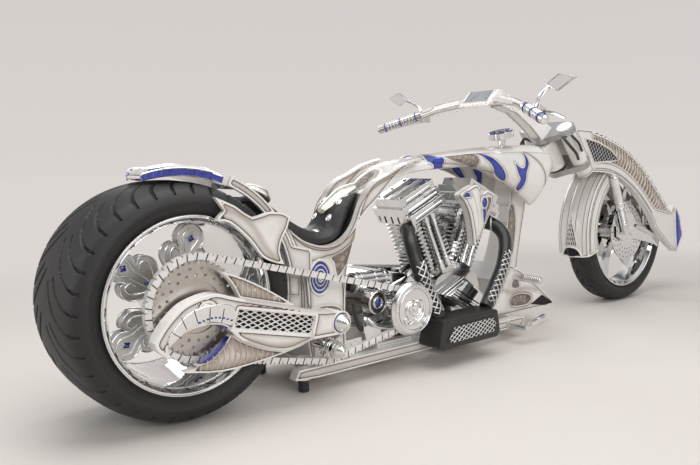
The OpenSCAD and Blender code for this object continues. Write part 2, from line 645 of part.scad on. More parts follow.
module mirrors() placed() color(chrome) both() {
  tube(smooth(shifted(stalk, [grow, 0, 0]), 3), 7, 8, [1, 0, 0]);
  translate([1300 + grow, 0, 0]) rotate([90, 0, 90]) linear_extrude(10) polygon(kite);
}

// Wheels
front_rim_line = [[-8, -56], [0, -56], [0, -50], [-8, -48], [-8, 48], [0, 50], [0, 56], [-8, 56],
  [-20, 44], [-24, 0], [-20, -44]];
// Front blade spoke, from hub to rim.
blade_lead = [[30, -16], [120, -34], [200, -20], [front_rim - 18, 20]];
blade_trail = [[front_rim - 18, 60], [190, 26], [120, 8], [30, 16]];
module front_wheel() placed() color(chrome) difference() {
  union() {
    turned(shifted(front_rim_line, [front_rim, 0]), front_ax, front_r);
    for (i = [0:front_spokes - 1]) translate([front_ax, 0, front_r]) rotate([90, 360 / front_spokes * i, 0])
      linear_extrude(18, center = true) polygon(concat(smooth(blade_lead), smooth(blade_trail)));
    bar_y(front_ax, front_r, 42, -58, 58);
    both() turned([[40, -62], [146, -62], [146, -57], [40, -57]], front_ax, front_r);
  }
  bar_y(front_ax, front_r, front_axle_r + fit, -100, 100);
}
// Half of a tyre's section: share of the wall height and of the width.
tyre_half = [[0.2, 0.48], [0.45, 0.5], [0.8, 0.43], [0.96, 0.24], [1, 0]];
function tyre(r, w, rim, seat) = let (half = smooth(concat([[rim + 2, seat + 2]],
  [for (q = tyre_half) [rim + (r - rim) * q[0], w * q[1]]]), 3), last = len(half) - 1)
  concat([[rim - 8, -seat]], [for (i = [0:last]) [half[i][0], -half[i][1]]],
    [for (i = [last - 1:-1:0]) half[i]], [[rim - 8, seat]]);
module front_tyre() placed() color(black) turned(tyre(front_r, front_w, front_rim, 48), front_ax, front_r);
rear_rim_line = [[-8, -172], [0, -172], [0, -164], [-8, -160], [-8, 160], [0, 164], [0, 172], [-8, 172],
  [-20, 150], [-26, 60], [-26, -100], [-20, -150]];
// Half a leaf spoke, from hub to rim: a waist, two side lobes and a pointed tip.
leaf = [[40, 20], [66, 16], [92, 44], [124, 58], [150, 46], [146, 26], [172, 30], [200, 22]];
module rear_wheel() placed() color(chrome) difference() {
  union() {
    turned(shifted(rear_rim_line, [rear_rim, 0]), 0, rear_r);
    for (i = [0:rear_spokes - 1]) translate([0, -30, rear_r]) rotate([90, 360 / rear_spokes * i, 0])
      linear_extrude(26) polygon(mirrored(concat(smooth(leaf), [[rear_rim - 22, 12]])));
    bar_y(0, rear_r, 58, -120, 72);
  }
  bar_y(0, rear_r, rear_axle_r + fit, -200, 200);
}
module rear_tyre() placed() color(black) turned(tyre(rear_r, rear_w, rear_rim, 160), 0, rear_r);
rotor = [[rear_axle_r + fit, -196], [74, -196], [74, -188], [50, -180], [50, -120], [rear_axle_r + fit, -120]];
// Drilled rows: radius and first angle.
drilled = [[88, 0], [106, 9]];
module rear_sprocket() placed() color([0.75, 0.72, 0.68]) difference() {
  union() {
    toothed([0, rear_r], chain_r1 - chain_h - 1, chain_y - 4, chain_y + 4, 70, 46);
    turned(rotor, 0, rear_r);
  }
  for (d = drilled, i = [0:19]) let (c = [0, rear_r] + polar(d[0], d[1] + 18 * i))
    translate([c[0], chain_y - 10, c[1]]) rotate([-90, 0, 0]) cylinder(r = 4.5, h = 20);
}

frame_spine();
frame_cradle();
steering_head();
tank();
side_panels();
seat_pan();
seat_pad();
seat_trim();
tail_fender();
tail_lamps();
tail_hoop();
swingarm();
swingarm_wings();
swingarm_grille();
swingarm_trim();
rear_axle();
chain();
chain_links();
drive_sprockets();
sprocket_cover();
transmission();
primary_cover();
crankcase();
cylinders();
rocker_boxes();
cam_cover();
carburettor();
air_cleaner();
exhaust_pipes();
muffler_box();
chin_fairing();
forward_controls();
stand_legs();
gauge();
yokes();
front_beak();
beak_lamps();
headlamp();
front_fender();
trailing_links();
shocks();
handlebar();
grips();
levers();
mirrors();
front_wheel();
front_tyre();
rear_wheel();
rear_tyre();
rear_sprocket();
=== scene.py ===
import bpy
import bmesh
import math
import numpy as np
from mathutils import Matrix, Vector, bvhtree, geometry, kdtree


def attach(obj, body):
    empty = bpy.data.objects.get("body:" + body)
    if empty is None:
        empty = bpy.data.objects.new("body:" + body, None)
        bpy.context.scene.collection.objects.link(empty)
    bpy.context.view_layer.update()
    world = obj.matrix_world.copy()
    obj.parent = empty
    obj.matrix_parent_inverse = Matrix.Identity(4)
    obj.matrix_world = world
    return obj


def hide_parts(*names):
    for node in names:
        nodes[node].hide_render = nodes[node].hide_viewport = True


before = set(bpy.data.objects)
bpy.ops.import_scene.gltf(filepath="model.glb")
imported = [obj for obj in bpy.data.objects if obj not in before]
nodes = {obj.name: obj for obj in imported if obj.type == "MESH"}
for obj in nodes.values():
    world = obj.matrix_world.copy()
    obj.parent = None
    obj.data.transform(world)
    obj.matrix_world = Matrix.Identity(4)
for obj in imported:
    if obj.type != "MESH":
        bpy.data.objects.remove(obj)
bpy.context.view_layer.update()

# Camera: stands behind the right rear corner at about hip height, level with the tail, and looks
# forward along the machine. The small roll is the hand-held tilt of the view.
camera_data = bpy.data.cameras.new("camera")
camera_data.lens = 35.79
camera_data.sensor_width = 36.0
camera_data.clip_end = 200.0
camera = bpy.data.objects.new("camera", camera_data)
bpy.context.scene.collection.objects.link(camera)
yaw, pitch, roll = 0.6757376, 0.1059745, -0.0157665
ahead = Vector((math.sin(yaw) * math.cos(pitch), math.cos(yaw) * math.cos(pitch), -math.sin(pitch)))
across = ahead.cross(Vector((0, 0, 1))).normalized()
upward = across.cross(ahead)
view_x = across * math.cos(roll) + upward * math.sin(roll)
view_y = upward * math.cos(roll) - across * math.sin(roll)
turn = Matrix((view_x, view_y, -ahead)).transposed().to_4x4()
camera.matrix_world = Matrix.Translation((-2.07875, -1.87837, 0.72513)) @ turn
bpy.context.scene.camera = camera
bpy.context.scene.view_settings.view_transform = "Standard"

# Stage: a pale warm studio floor that runs out into a pinkish grey background, lit by a large softbox
# overhead, a long one on the right, a weaker one on the far side and a small one behind the tail.
WALL = (0.715, 0.672, 0.650)
FLOOR = (0.74, 0.69, 0.645)


def new_material(name):
    material = bpy.data.materials.new(name)
    material.use_nodes = True
    tree = material.node_tree
    return material, tree, tree.nodes["Principled BSDF"]


def node_of(tree, kind, **settings):
    node = tree.nodes.new(kind)
    for key, value in settings.items():
        setattr(node, key, value)
    return node


def seen_rays(tree):
    paths = node_of(tree, "ShaderNodeLightPath")
    glossy = node_of(tree, "ShaderNodeMath", operation="MAXIMUM")
    tree.links.new(paths.outputs["Is Camera Ray"], glossy.inputs[0])
    tree.links.new(paths.outputs["Is Glossy Ray"], glossy.inputs[1])
    seen = node_of(tree, "ShaderNodeMath", operation="MAXIMUM")
    tree.links.new(glossy.outputs[0], seen.inputs[0])
    tree.links.new(paths.outputs["Is Transmission Ray"], seen.inputs[1])
    return seen.outputs[0]


bm = bmesh.new()
bmesh.ops.create_circle(bm, cap_ends=True, radius=40.0, segments=64)
floor_mesh = bpy.data.meshes.new("floor")
bm.to_mesh(floor_mesh)
bm.free()
floor = bpy.data.objects.new("floor", floor_mesh)
bpy.context.scene.collection.objects.link(floor)
floor_look, tree, shader = new_material("studio_floor")
shader.inputs["Roughness"].default_value = 0.62
shader.inputs["Specular IOR Level"].default_value = 0.25
place = node_of(tree, "ShaderNodeTexCoord")
cloud = node_of(tree, "ShaderNodeTexNoise")
cloud.inputs["Scale"].default_value = 1.4
cloud.inputs["Detail"].default_value = 5.0
tree.links.new(place.outputs["Object"], cloud.inputs["Vector"])
tone = node_of(tree, "ShaderNodeMix", data_type="RGBA")
tone.inputs["A"].default_value = (*FLOOR, 1)
tone.inputs["B"].default_value = (0.80, 0.755, 0.71, 1)
tree.links.new(cloud.outputs["Fac"], tone.inputs["Factor"])
tree.links.new(tone.outputs["Result"], shader.inputs["Base Color"])
reach = node_of(tree, "ShaderNodeVectorMath", operation="LENGTH")
tree.links.new(place.outputs["Object"], reach.inputs[0])
fade = node_of(tree, "ShaderNodeMapRange", interpolation_type="SMOOTHSTEP")
fade.inputs["From Min"].default_value = 1.7
fade.inputs["From Max"].default_value = 3.6
tree.links.new(reach.outputs["Value"], fade.inputs["Value"])
glow = node_of(tree, "ShaderNodeEmission")
glow.inputs["Color"].default_value = (*WALL, 1)
share = node_of(tree, "ShaderNodeMath", operation="MULTIPLY")
tree.links.new(fade.outputs["Result"], share.inputs[0])
tree.links.new(seen_rays(tree), share.inputs[1])
blend = node_of(tree, "ShaderNodeMixShader")
tree.links.new(share.outputs[0], blend.inputs["Fac"])
tree.links.new(shader.outputs[0], blend.inputs[1])
tree.links.new(glow.outputs[0], blend.inputs[2])
tree.links.new(blend.outputs[0], tree.nodes["Material Output"].inputs["Surface"])
floor_mesh.materials.append(floor_look)

world = bpy.data.worlds.new("studio")
bpy.context.scene.world = world
world.use_nodes = True
tree = world.node_tree
backdrop = tree.nodes["Background"]
place = node_of(tree, "ShaderNodeTexCoord")
split = node_of(tree, "ShaderNodeSeparateXYZ")
tree.links.new(place.outputs["Generated"], split.inputs[0])
height = node_of(tree, "ShaderNodeMapRange")
height.inputs["From Min"].default_value = -0.1
height.inputs["From Max"].default_value = 1.0
tree.links.new(split.outputs["Z"], height.inputs["Value"])
shade = node_of(tree, "ShaderNodeValToRGB")
stops = shade.color_ramp.elements
stops[0].position, stops[0].color = 0.0, (*WALL, 1)
stops[1].position, stops[1].color = 0.30, (0.655, 0.615, 0.60, 1)
for position, color in ((0.42, (0.30, 0.29, 0.285, 1)), (0.55, (0.10, 0.10, 0.105, 1)),
        (0.70, (0.55, 0.55, 0.55, 1)), (0.85, (1.0, 1.0, 1.0, 1))):
    stop = stops.new(position)
    stop.color = color
tree.links.new(height.outputs["Result"], shade.inputs["Fac"])
tree.links.new(shade.outputs["Color"], backdrop.inputs["Color"])
backdrop.inputs["Strength"].default_value = 1.0
ambient = node_of(tree, "ShaderNodeBackground")
ambient.inputs["Color"].default_value = (0.97, 0.97, 1.0, 1)
ambient.inputs["Strength"].default_value = 0.30
either = node_of(tree, "ShaderNodeMixShader")
tree.links.new(seen_rays(tree), either.inputs["Fac"])
tree.links.new(ambient.outputs[0], either.inputs[1])
tree.links.new(backdrop.outputs[0], either.inputs[2])
tree.links.new(either.outputs[0], tree.nodes["World Output"].inputs["Surface"])

# Softboxes: name, place, aim, width, height, power.
for name, spot, aim, wide, tall, power in (
    ("softbox_top", (-0.6, -0.6, 3.4), (0, 0, 0.3), 4.2, 2.6, 88),
    ("softbox_side", (-1.2, -4.2, 2.0), (0, 0, 0.4), 4.0, 1.4, 66),
    ("softbox_far", (1.2, 4.0, 2.4), (0, 0, 0.4), 3.0, 1.6, 46),
    ("softbox_rear", (-4.2, 0.8, 1.6), (-0.6, 0, 0.4), 1.4, 1.8, 28),
):
    lamp = bpy.data.lights.new(name, "AREA")
    lamp.shape = "RECTANGLE"
    lamp.size, lamp.size_y, lamp.energy = wide, tall, power
    light = bpy.data.objects.new(name, lamp)
    light.location = spot
    light.rotation_euler = (Vector(aim) - Vector(spot)).to_track_quat("-Z", "Y").to_euler()
    bpy.context.scene.collection.objects.link(light)

# Backbone, cradle and steering head: welded steel, filled and painted pearl white, then airbrushed:
# a white lip along each edge, a thin dark line inside it and a tan fade beyond that.
WHITE = (0.84, 0.82, 0.79)
TAN = (0.30, 0.235, 0.18)
LINE = (0.055, 0.040, 0.034)
BLUE = (0.010, 0.022, 0.26)
MID_X = 1258.5  # mm from the rear axle to the shared frame's origin


def painted(tree, under, name, low, high, stops, over=None):
    """One coat over the last, placed by a distance in mm that the piece carries: mm, colour, cover."""
    mark = node_of(tree, "ShaderNodeAttribute", attribute_name=name)
    spread = node_of(tree, "ShaderNodeMapRange")
    spread.inputs["From Min"].default_value = low
    spread.inputs["From Max"].default_value = high
    tree.links.new(mark.outputs["Fac"], spread.inputs["Value"])
    ramp = node_of(tree, "ShaderNodeValToRGB")
    while len(ramp.color_ramp.elements) < len(stops):
        ramp.color_ramp.elements.new(0.5)
    for stop, (level, color, cover) in zip(ramp.color_ramp.elements, stops):
        stop.position = (level - low) / (high - low)
        stop.color = (*color, cover)
    tree.links.new(spread.outputs["Result"], ramp.inputs["Fac"])
    coat = node_of(tree, "ShaderNodeMix", data_type="RGBA")
    tree.links.new(ramp.outputs["Alpha"], coat.inputs["Factor"])
    tree.links.new(under, coat.inputs[6])
    tree.links.new(over or ramp.outputs["Color"], coat.inputs[7])
    return coat.outputs[2]


def pearl_paint(name, lip=6.0, fade=22.0, depth=0.75, line=LINE, tan=TAN):
    """Gloss pearl paint with lip, line and fade at the edges, tan windows, soft lines and blue inlays."""
    material, tree, shader = new_material(name)
    shader.inputs["Roughness"].default_value = 0.26
    shader.inputs["Coat Weight"].default_value = 0.7
    shader.inputs["Coat Roughness"].default_value = 0.05
    place = node_of(tree, "ShaderNodeTexCoord")
    cloud = node_of(tree, "ShaderNodeTexNoise")
    cloud.inputs["Scale"].default_value = 11.0
    cloud.inputs["Detail"].default_value = 3.0
    tree.links.new(place.outputs["Object"], cloud.inputs["Vector"])
    ground = node_of(tree, "ShaderNodeValToRGB")
    ground.color_ramp.elements[0].position = 0.38
    ground.color_ramp.elements[0].color = (*WHITE, 1)
    ground.color_ramp.elements[1].position = 0.78
    ground.color_ramp.elements[1].color = (*(w + (t - w) * 0.14 for w, t in zip(WHITE, tan)), 1)
    tree.links.new(cloud.outputs["Fac"], ground.inputs["Fac"])
    crackle = node_of(tree, "ShaderNodeTexVoronoi", feature="DISTANCE_TO_EDGE")
    crackle.inputs["Scale"].default_value = 46.0
    tree.links.new(place.outputs["Object"], crackle.inputs["Vector"])
    scales = node_of(tree, "ShaderNodeValToRGB")
    scales.color_ramp.elements[0].position = 0.02
    scales.color_ramp.elements[0].color = (0.11, 0.082, 0.065, 1)
    scales.color_ramp.elements[1].position = 0.30
    scales.color_ramp.elements[1].color = (*tan, 1)
    tree.links.new(crackle.outputs["Distance"], scales.inputs["Fac"])
    coat = painted(tree, ground.outputs["Color"], "edge_mm", 0.0, 60.0, (
        (lip - 0.4, WHITE, 0.9), (lip, line, 1), (lip + 2.0, line, 1), (lip + 2.8, tan, 0.95 * depth),
        (lip + fade * 0.4, tan, 0.34 * depth), (lip + fade, tan, 0)))
    coat = painted(tree, coat, "tan_mm", -20.0, 40.0, ((-14.0, tan, 0), (-3.4, tan, 0.35), (-3.0, WHITE, 1),
            (-0.2, WHITE, 0), (0.4, line, 0), (0.5, line, 1), (2.2, line, 1), (2.3, tan, 0)))
    coat = painted(tree, coat, "tan_mm", -20.0, 40.0, ((2.2, tan, 0), (2.6, tan, 1), (40.0, tan, 0.75)),
        scales.outputs["Color"])
    coat = painted(tree, coat, "near_mm", 0.0, 20.0, ((0.0, tan, 0), (4.0, tan, 0.0), (20.0, tan, 0.6)))
    coat = painted(tree, coat, "blue_mm", -20.0, 40.0, ((-14.0, tan, 0), (-4.6, tan, 0.5), (-4.4, line, 1),
            (-3.2, line, 1), (-3.0, WHITE, 1), (-0.2, WHITE, 0), (0.4, BLUE, 0),
            (0.5, (0.004, 0.008, 0.10), 1), (3.0, BLUE, 1), (14.0, (0.018, 0.045, 0.40), 1)))
    tree.links.new(coat, shader.inputs["Base Color"])
    peel = node_of(tree, "ShaderNodeTexNoise")
    peel.inputs["Scale"].default_value = 240.0
    tree.links.new(place.outputs["Object"], peel.inputs["Vector"])
    bump = node_of(tree, "ShaderNodeBump")
    bump.inputs["Strength"].default_value = 0.03
    bump.inputs["Distance"].default_value = 0.0006
    tree.links.new(peel.outputs["Fac"], bump.inputs["Height"])
    tree.links.new(bump.outputs["Normal"], shader.inputs["Normal"])
    return material


wires = []


def draw_wires(bm):
    """Adds the waiting wires to a mesh, as bevelled curves."""
    for look, sides in sorted({(w[2], w[3]) for w in wires}):
        curve = bpy.data.curves.new("wires", "CURVE")
        curve.dimensions = "3D"
        curve.bevel_depth = 0.001
        curve.bevel_resolution = sides
        curve.use_fill_caps = True
        for line, sizes, _, _, closed in [w for w in wires if w[2:4] == (look, sides)]:
            spline = curve.splines.new("POLY")
            spline.points.add(len(line) - 1)
            spline.use_cyclic_u = closed
            for point, place, size in zip(spline.points, line, sizes):
                point.co = (*at(*place), 1)
                point.radius = size
        holder = bpy.data.objects.new("wires", curve)
        bpy.context.scene.collection.objects.link(holder)
        mesh = bpy.data.meshes.new_from_object(holder.evaluated_get(bpy.context.evaluated_depsgraph_get()))
        first = len(bm.faces)
        bm.from_mesh(mesh)
        bm.faces.ensure_lookup_table()
        for f in bm.faces[first:]:
            f.material_index = look
        bpy.data.objects.remove(holder)
        bpy.data.curves.remove(curve)
        bpy.data.meshes.remove(mesh)
    wires.clear()


def seat_piece(bm, name, look, body, stands_for=(), angle=40.0, weighted=True):
    """Turns a finished bmesh into a piece at the origin that rides on a body."""
    draw_wires(bm)
    mesh = bpy.data.meshes.new(name)
    bm.to_mesh(mesh)
    bm.free()
    for one in look if isinstance(look, (list, tuple)) else [look]:
        mesh.materials.append(one)
    for polygon in mesh.polygons:
        polygon.use_smooth = True
    mesh.set_sharp_from_angle(angle=math.radians(angle))
    piece = bpy.data.objects.new(name, mesh)
    bpy.context.scene.collection.objects.link(piece)
    if weighted:
        piece.modifiers.new("even_normals", "WEIGHTED_NORMAL").keep_sharp = True
    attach(piece, body)
    if stands_for:
        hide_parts(*stands_for)
    return piece


def edge_points(bm, sharp, step=0.003):
    """Points along the sharp edges, for the distance that the paint follows."""
    points = []
    for e in bm.edges:
        if len(e.link_faces) == 2 and e.calc_face_angle(0.0) > sharp:
            a, b = e.verts[0].co, e.verts[1].co
            count = max(1, int((b - a).length / step))
            points.extend(a.lerp(b, i / count) for i in range(count + 1))
    return points


def mark_edges(bm, points):
    """Writes each vertex's distance from the nearest edge point, in mm."""
    layer = bm.verts.layers.float.new("edge_mm")
    tree = kdtree.KDTree(len(points))
    for i, p in enumerate(points):
        tree.insert(p, i)
    tree.balance()
    for v in bm.verts:
        v[layer] = tree.find(v.co)[2] * 1000.0 if points else 0.0


def once(items):
    """Each item once, in the order they come, so that every run builds the same mesh."""
    return list(dict.fromkeys(items))


def grid_cut(bm, pitch, axes="xz"):
    """Cuts the faces by evenly spaced planes, so that a painted distance has points to live on."""
    for axis in axes:
        k = "xyz".index(axis)
        normal = Vector([1.0 if i == k else 0.0 for i in range(3)])
        low = min(v.co[k] for v in bm.verts)
        high = max(v.co[k] for v in bm.verts)
        waiting = [(bm.faces[:], 1, int((high - low) / pitch))]
        while waiting:
            faces, first, last = waiting.pop()
            if first > last or not faces:
                continue
            middle = (first + last) // 2
            level = low + middle * pitch
            below, above, crossing = [], [], []
            for f in faces:
                spans = [v.co[k] for v in f.verts]
                (above if min(spans) >= level - 1e-7 else below if max(spans) <= level + 1e-7
                    else crossing).append(f)
            if crossing:
                parts = once(v for f in crossing for v in f.verts)
                parts += once(e for f in crossing for e in f.edges) + crossing
                cut = bmesh.ops.bisect_plane(bm, geom=parts, dist=1e-7, plane_co=normal * level,
                    plane_no=normal)
                for f in cut["geom"]:
                    if isinstance(f, bmesh.types.BMFace):
                        (above if sum(v.co[k] for v in f.verts) / len(f.verts) > level else below).append(f)
            waiting += [(below, first, middle - 1), (above, middle + 1, last)]


def node_copy(name, merge=2e-5):
    """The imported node's mesh, merged and with its flat faces whole again."""
    bm = bmesh.new()
    bm.from_mesh(nodes[name].data)
    bmesh.ops.remove_doubles(bm, verts=bm.verts[:], dist=merge)
    bmesh.ops.dissolve_limit(bm, angle_limit=math.radians(0.6), use_dissolve_boundaries=False,
        verts=bm.verts[:], edges=bm.edges[:])
    return bm


def rounded(bm, width, steps=2, sharp=28.0):
    """Rounds the sharp edges of a mesh."""
    edges = [e for e in bm.edges if len(e.link_faces) == 2 and e.calc_face_angle(0.0) > math.radians(sharp)]
    if edges:
        bmesh.ops.bevel(bm, geom=edges, offset=width, offset_type="OFFSET", segments=steps, profile=0.5,
            affect="EDGES", clamp_overlap=True, material=-1)


def dressed(name, look, body, width, steps, pitch=None, axes="xz", sharp=28.0, angle=40.0):
    """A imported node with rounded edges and, given a pitch, the distance from them that its paint reads."""
    bm = node_copy(name)
    points = edge_points(bm, math.radians(sharp)) if pitch else []
    rounded(bm, width, steps, sharp)
    if pitch:
        grid_cut(bm, pitch, axes)
        mark_edges(bm, points)
    return seat_piece(bm, name + "_skin", look, body, (name,), angle)


def smooth_skin(name, look, body, levels=2, hard=50.0, edge_from=35.0):
    """A packed loft with its triangles joined to quads and made smooth by subdivision."""
    bm = node_copy(name)
    bmesh.ops.triangulate(bm, faces=[f for f in bm.faces if len(f.verts) > 12])
    bmesh.ops.join_triangles(bm, faces=bm.faces[:], cmp_seam=False, cmp_sharp=False, cmp_uvs=False,
        cmp_vcols=False, cmp_materials=False, angle_face_threshold=math.radians(40),
        angle_shape_threshold=math.radians(60))
    crease = bm.edges.layers.float.get("crease_edge") or bm.edges.layers.float.new("crease_edge")
    for e in bm.edges:
        if len(e.link_faces) == 2 and e.calc_face_angle(0.0) > math.radians(hard):
            e[crease] = 0.85
    rough = bpy.data.meshes.new(name + "_rough")
    bm.to_mesh(rough)
    bm.free()
    holder = bpy.data.objects.new(name + "_rough", rough)
    bpy.context.scene.collection.objects.link(holder)
    rounding = holder.modifiers.new("rounding", "SUBSURF")
    rounding.levels = rounding.render_levels = levels
    done = bpy.data.meshes.new_from_object(holder.evaluated_get(bpy.context.evaluated_depsgraph_get()))
    bm = bmesh.new()
    bm.from_mesh(done)
    bpy.data.objects.remove(holder)
    bpy.data.meshes.remove(rough)
    bpy.data.meshes.remove(done)
    mark_edges(bm, edge_points(bm, math.radians(edge_from)))
    return seat_piece(bm, name + "_skin", look, body, (name,), 60.0, False)


def curve_through(points, closed, steps=8):
    """A smooth line through a few points."""
    count = len(points)
    out = []
    for i in range(count if closed else count - 1):
        if closed:
            p = [np.array(points[(i + k) % count], float) for k in (-1, 0, 1, 2)]
        else:
            p = [np.array(points[min(max(i + k, 0), count - 1)], float) for k in (-1, 0, 1, 2)]
        for s in range(steps):
            t = s / steps
            out.append(0.5 * (2 * p[1] + (p[2] - p[0]) * t + (2 * p[0] - 5 * p[1] + 4 * p[2] - p[3])
                    * t ** 2 + (3 * p[1] - p[0] - 3 * p[2] + p[3]) * t ** 3))
    if not closed:
        out.append(np.array(points[-1], float))
    return np.array(out)


def away(spots, line, closed):
    """Each spot's distance from a line, and which spots lie inside it."""
    best = np.full(len(spots), 1e9)
    within = np.zeros(len(spots), bool)
    ends = np.roll(line, -1, axis=0) if closed else line[1:]
    for a, b in zip(line if closed else line[:-1], ends):
        d = b - a
        t = np.clip(((spots - a) @ d) / max(d @ d, 1e-9), 0, 1)
        best = np.minimum(best, np.hypot(*(spots - a - t[:, None] * d).T))
        if closed and a[1] != b[1]:
            crosses = (a[1] > spots[:, 1]) != (b[1] > spots[:, 1])
            within ^= crosses & (spots[:, 0] < a[0] + (spots[:, 1] - a[1]) * d[0] / d[1])
    return best, within


def stencil(piece, blue=(), tan=(), lines=(), plane="xz"):
    """Writes the distances from painted shapes, drawn in mm as seen from the side or the top."""
    mesh = piece.data
    spots = np.empty(len(mesh.vertices) * 3, np.float32)
    mesh.vertices.foreach_get("co", spots)
    spots = spots.reshape(-1, 3).astype(float) * 1000.0 + (MID_X, 0, 0)
    flat = np.column_stack((spots[:, 0], spots[:, 2] if plane == "xz" else np.abs(spots[:, 1])))
    for name, shapes in (("blue_mm", blue), ("tan_mm", tan)):
        if shapes:
            best = np.full(len(flat), -60.0)
            for shape in shapes:
                far, within = away(flat, curve_through(shape, True), True)
                best = np.maximum(best, np.where(within, far, -far))
            mark = mesh.attributes.get(name) or mesh.attributes.new(name, "FLOAT", "POINT")
            mark.data.foreach_set("value", best.astype(np.float32))
    if lines:
        best = np.full(len(flat), 0.0)
        for line in lines:
            best = np.maximum(best, 20.0 - away(flat, curve_through(line, False), False)[0])
        mark = mesh.attributes.get("near_mm") or mesh.attributes.new("near_mm", "FLOAT", "POINT")
        mark.data.foreach_set("value", best.astype(np.float32))


pearl = pearl_paint("pearl_shaded")
pearl_plain = pearl_paint("pearl_plain", depth=0.3, fade=22.0, line=(0.40, 0.36, 0.32))
spine = smooth_skin("frame_spine", pearl_plain, "chassis", 4)
stencil(spine, blue=[[(984, 712), (1036, 740), (1052, 703), (1048, 660), (1009, 660), (1004, 697)]],
    tan=[[(690, 656), (712, 679), (748, 699), (812, 700), (766, 660), (684, 609)]],
    lines=[[(666, 542), (720, 600), (784, 653), (860, 692), (948, 717), (1040, 735), (1200, 752),
            (1500, 762)]])
cradle = dressed("frame_cradle", pearl, "chassis", 0.006, 3, pitch=0.010)
stencil(cradle, tan=[[(1500, 500), (1530, 520), (1545, 440), (1530, 330), (1505, 260), (1490, 330)]],
        blue=[[(1464, 580), (1500, 590), (1488, 543), (1459, 510), (1440, 553)]])
dressed("steering_head", pearl_plain, "chassis", 0.003, 2)

# Tank: two hammered lobes on the backbone, full at the shoulder, which run down to a point ahead of
# the engine. Blue and tan fields lie under the clear coat, each with a white edge and a dark line.
tank = smooth_skin("tank", pearl_plain, "chassis", 4)
stencil(tank, blue=[[(1226, 740), (1290, 722), (1351, 675), (1382, 627), (1321, 656), (1279, 699)],
        [(1418, 699), (1437, 685), (1469, 676), (1490, 704), (1507, 744), (1509, 696), (1488, 660),
            (1485, 624), (1471, 585), (1449, 601), (1453, 633), (1435, 657)],
        [(984, 722), (1036, 738), (1049, 703), (1046, 660), (1009, 660), (1004, 697)]],
    tan=[[(1062, 728), (1115, 738), (1207, 740), (1208, 684), (1159, 696), (1093, 712)]],
    lines=[[(1216, 742), (1218, 700), (1222, 676)], [(1222, 682), (1300, 662), (1400, 612), (1470, 575)],
        [(1520, 745), (1590, 690), (1622, 640), (1629, 600)]])

# Middle panels: a plate on each side of the seat rails, with the seat's white ribbon swept up its
# front. An enamel medallion in a chrome rim is let into each, and the wedge behind has a ribbed inlay.
panels = dressed("side_panels", pearl, "chassis", 0.005, 3, pitch=0.006)
stencil(panels, tan=[[(512, 411), (557, 427), (588, 445), (602, 462), (590, 424), (571, 383), (538, 349),
            (529, 369), (524, 393)], [(440, 250), (545, 240), (540, 150), (450, 150)]],
    blue=[[(316, 449), (339, 442), (365, 417), (374, 390), (332, 394)]],
    lines=[[(347, 520), (365, 498), (396, 472), (433, 453), (471, 443), (505, 442), (546, 455), (582, 484),
            (610, 526), (636, 580), (690, 628), (780, 668), (900, 710)],
        [(383, 434), (410, 416), (437, 409), (493, 419), (533, 424), (581, 448), (612, 476)],
        [(381, 435), (398, 388), (401, 293), (404, 200)], [(334, 369), (392, 358), (388, 304), (345, 316)]])


def metal(name, color, rough, wear=0.05, bump_by=0.0, grain=35.0):
    """Bare or plated metal; slight clouding of tone and gloss."""
    material, tree, shader = new_material(name)
    shader.inputs["Metallic"].default_value = 1.0
    place = node_of(tree, "ShaderNodeTexCoord")
    cloud = node_of(tree, "ShaderNodeTexNoise")
    cloud.inputs["Scale"].default_value = grain
    cloud.inputs["Detail"].default_value = 4.0
    tree.links.new(place.outputs["Object"], cloud.inputs["Vector"])
    tone = node_of(tree, "ShaderNodeValToRGB")
    tone.color_ramp.elements[0].position = 0.3
    tone.color_ramp.elements[0].color = (*(c * (1 - 2.5 * wear) for c in color), 1)
    tone.color_ramp.elements[1].position = 0.7
    tone.color_ramp.elements[1].color = (*color, 1)
    tree.links.new(cloud.outputs["Fac"], tone.inputs["Fac"])
    tree.links.new(tone.outputs["Color"], shader.inputs["Base Color"])
    sheen = node_of(tree, "ShaderNodeMapRange")
    sheen.inputs["To Min"].default_value = max(0.02, rough - wear)
    sheen.inputs["To Max"].default_value = rough + wear
    tree.links.new(cloud.outputs["Fac"], sheen.inputs["Value"])
    tree.links.new(sheen.outputs["Result"], shader.inputs["Roughness"])
    if bump_by:
        bump = node_of(tree, "ShaderNodeBump")
        bump.inputs["Strength"].default_value = bump_by
        bump.inputs["Distance"].default_value = 0.001
        tree.links.new(cloud.outputs["Fac"], bump.inputs["Height"])
        tree.links.new(bump.outputs["Normal"], shader.inputs["Normal"])
    return material


def gloss(name, color, deep, rough=0.2, scale=60.0, coat=1.0, bump_by=0.0):
    """Enamel, lacquer, rubber or hide: two near tones clouded together, under a clear coat or not."""
    material, tree, shader = new_material(name)
    shader.inputs["Roughness"].default_value = rough
    shader.inputs["Coat Weight"].default_value = coat
    shader.inputs["Coat Roughness"].default_value = 0.04
    place = node_of(tree, "ShaderNodeTexCoord")
    cloud = node_of(tree, "ShaderNodeTexNoise")
    cloud.inputs["Scale"].default_value = scale
    cloud.inputs["Detail"].default_value = 4.0
    tree.links.new(place.outputs["Object"], cloud.inputs["Vector"])
    tone = node_of(tree, "ShaderNodeValToRGB")
    tone.color_ramp.elements[0].position = 0.36
    tone.color_ramp.elements[0].color = (*deep, 1)
    tone.color_ramp.elements[1].position = 0.66
    tone.color_ramp.elements[1].color = (*color, 1)
    tree.links.new(cloud.outputs["Fac"], tone.inputs["Fac"])
    tree.links.new(tone.outputs["Color"], shader.inputs["Base Color"])
    if bump_by:
        bump = node_of(tree, "ShaderNodeBump")
        bump.inputs["Strength"].default_value = bump_by
        bump.inputs["Distance"].default_value = 0.001
        tree.links.new(cloud.outputs["Fac"], bump.inputs["Height"])
        tree.links.new(bump.outputs["Normal"], shader.inputs["Normal"])
    return material


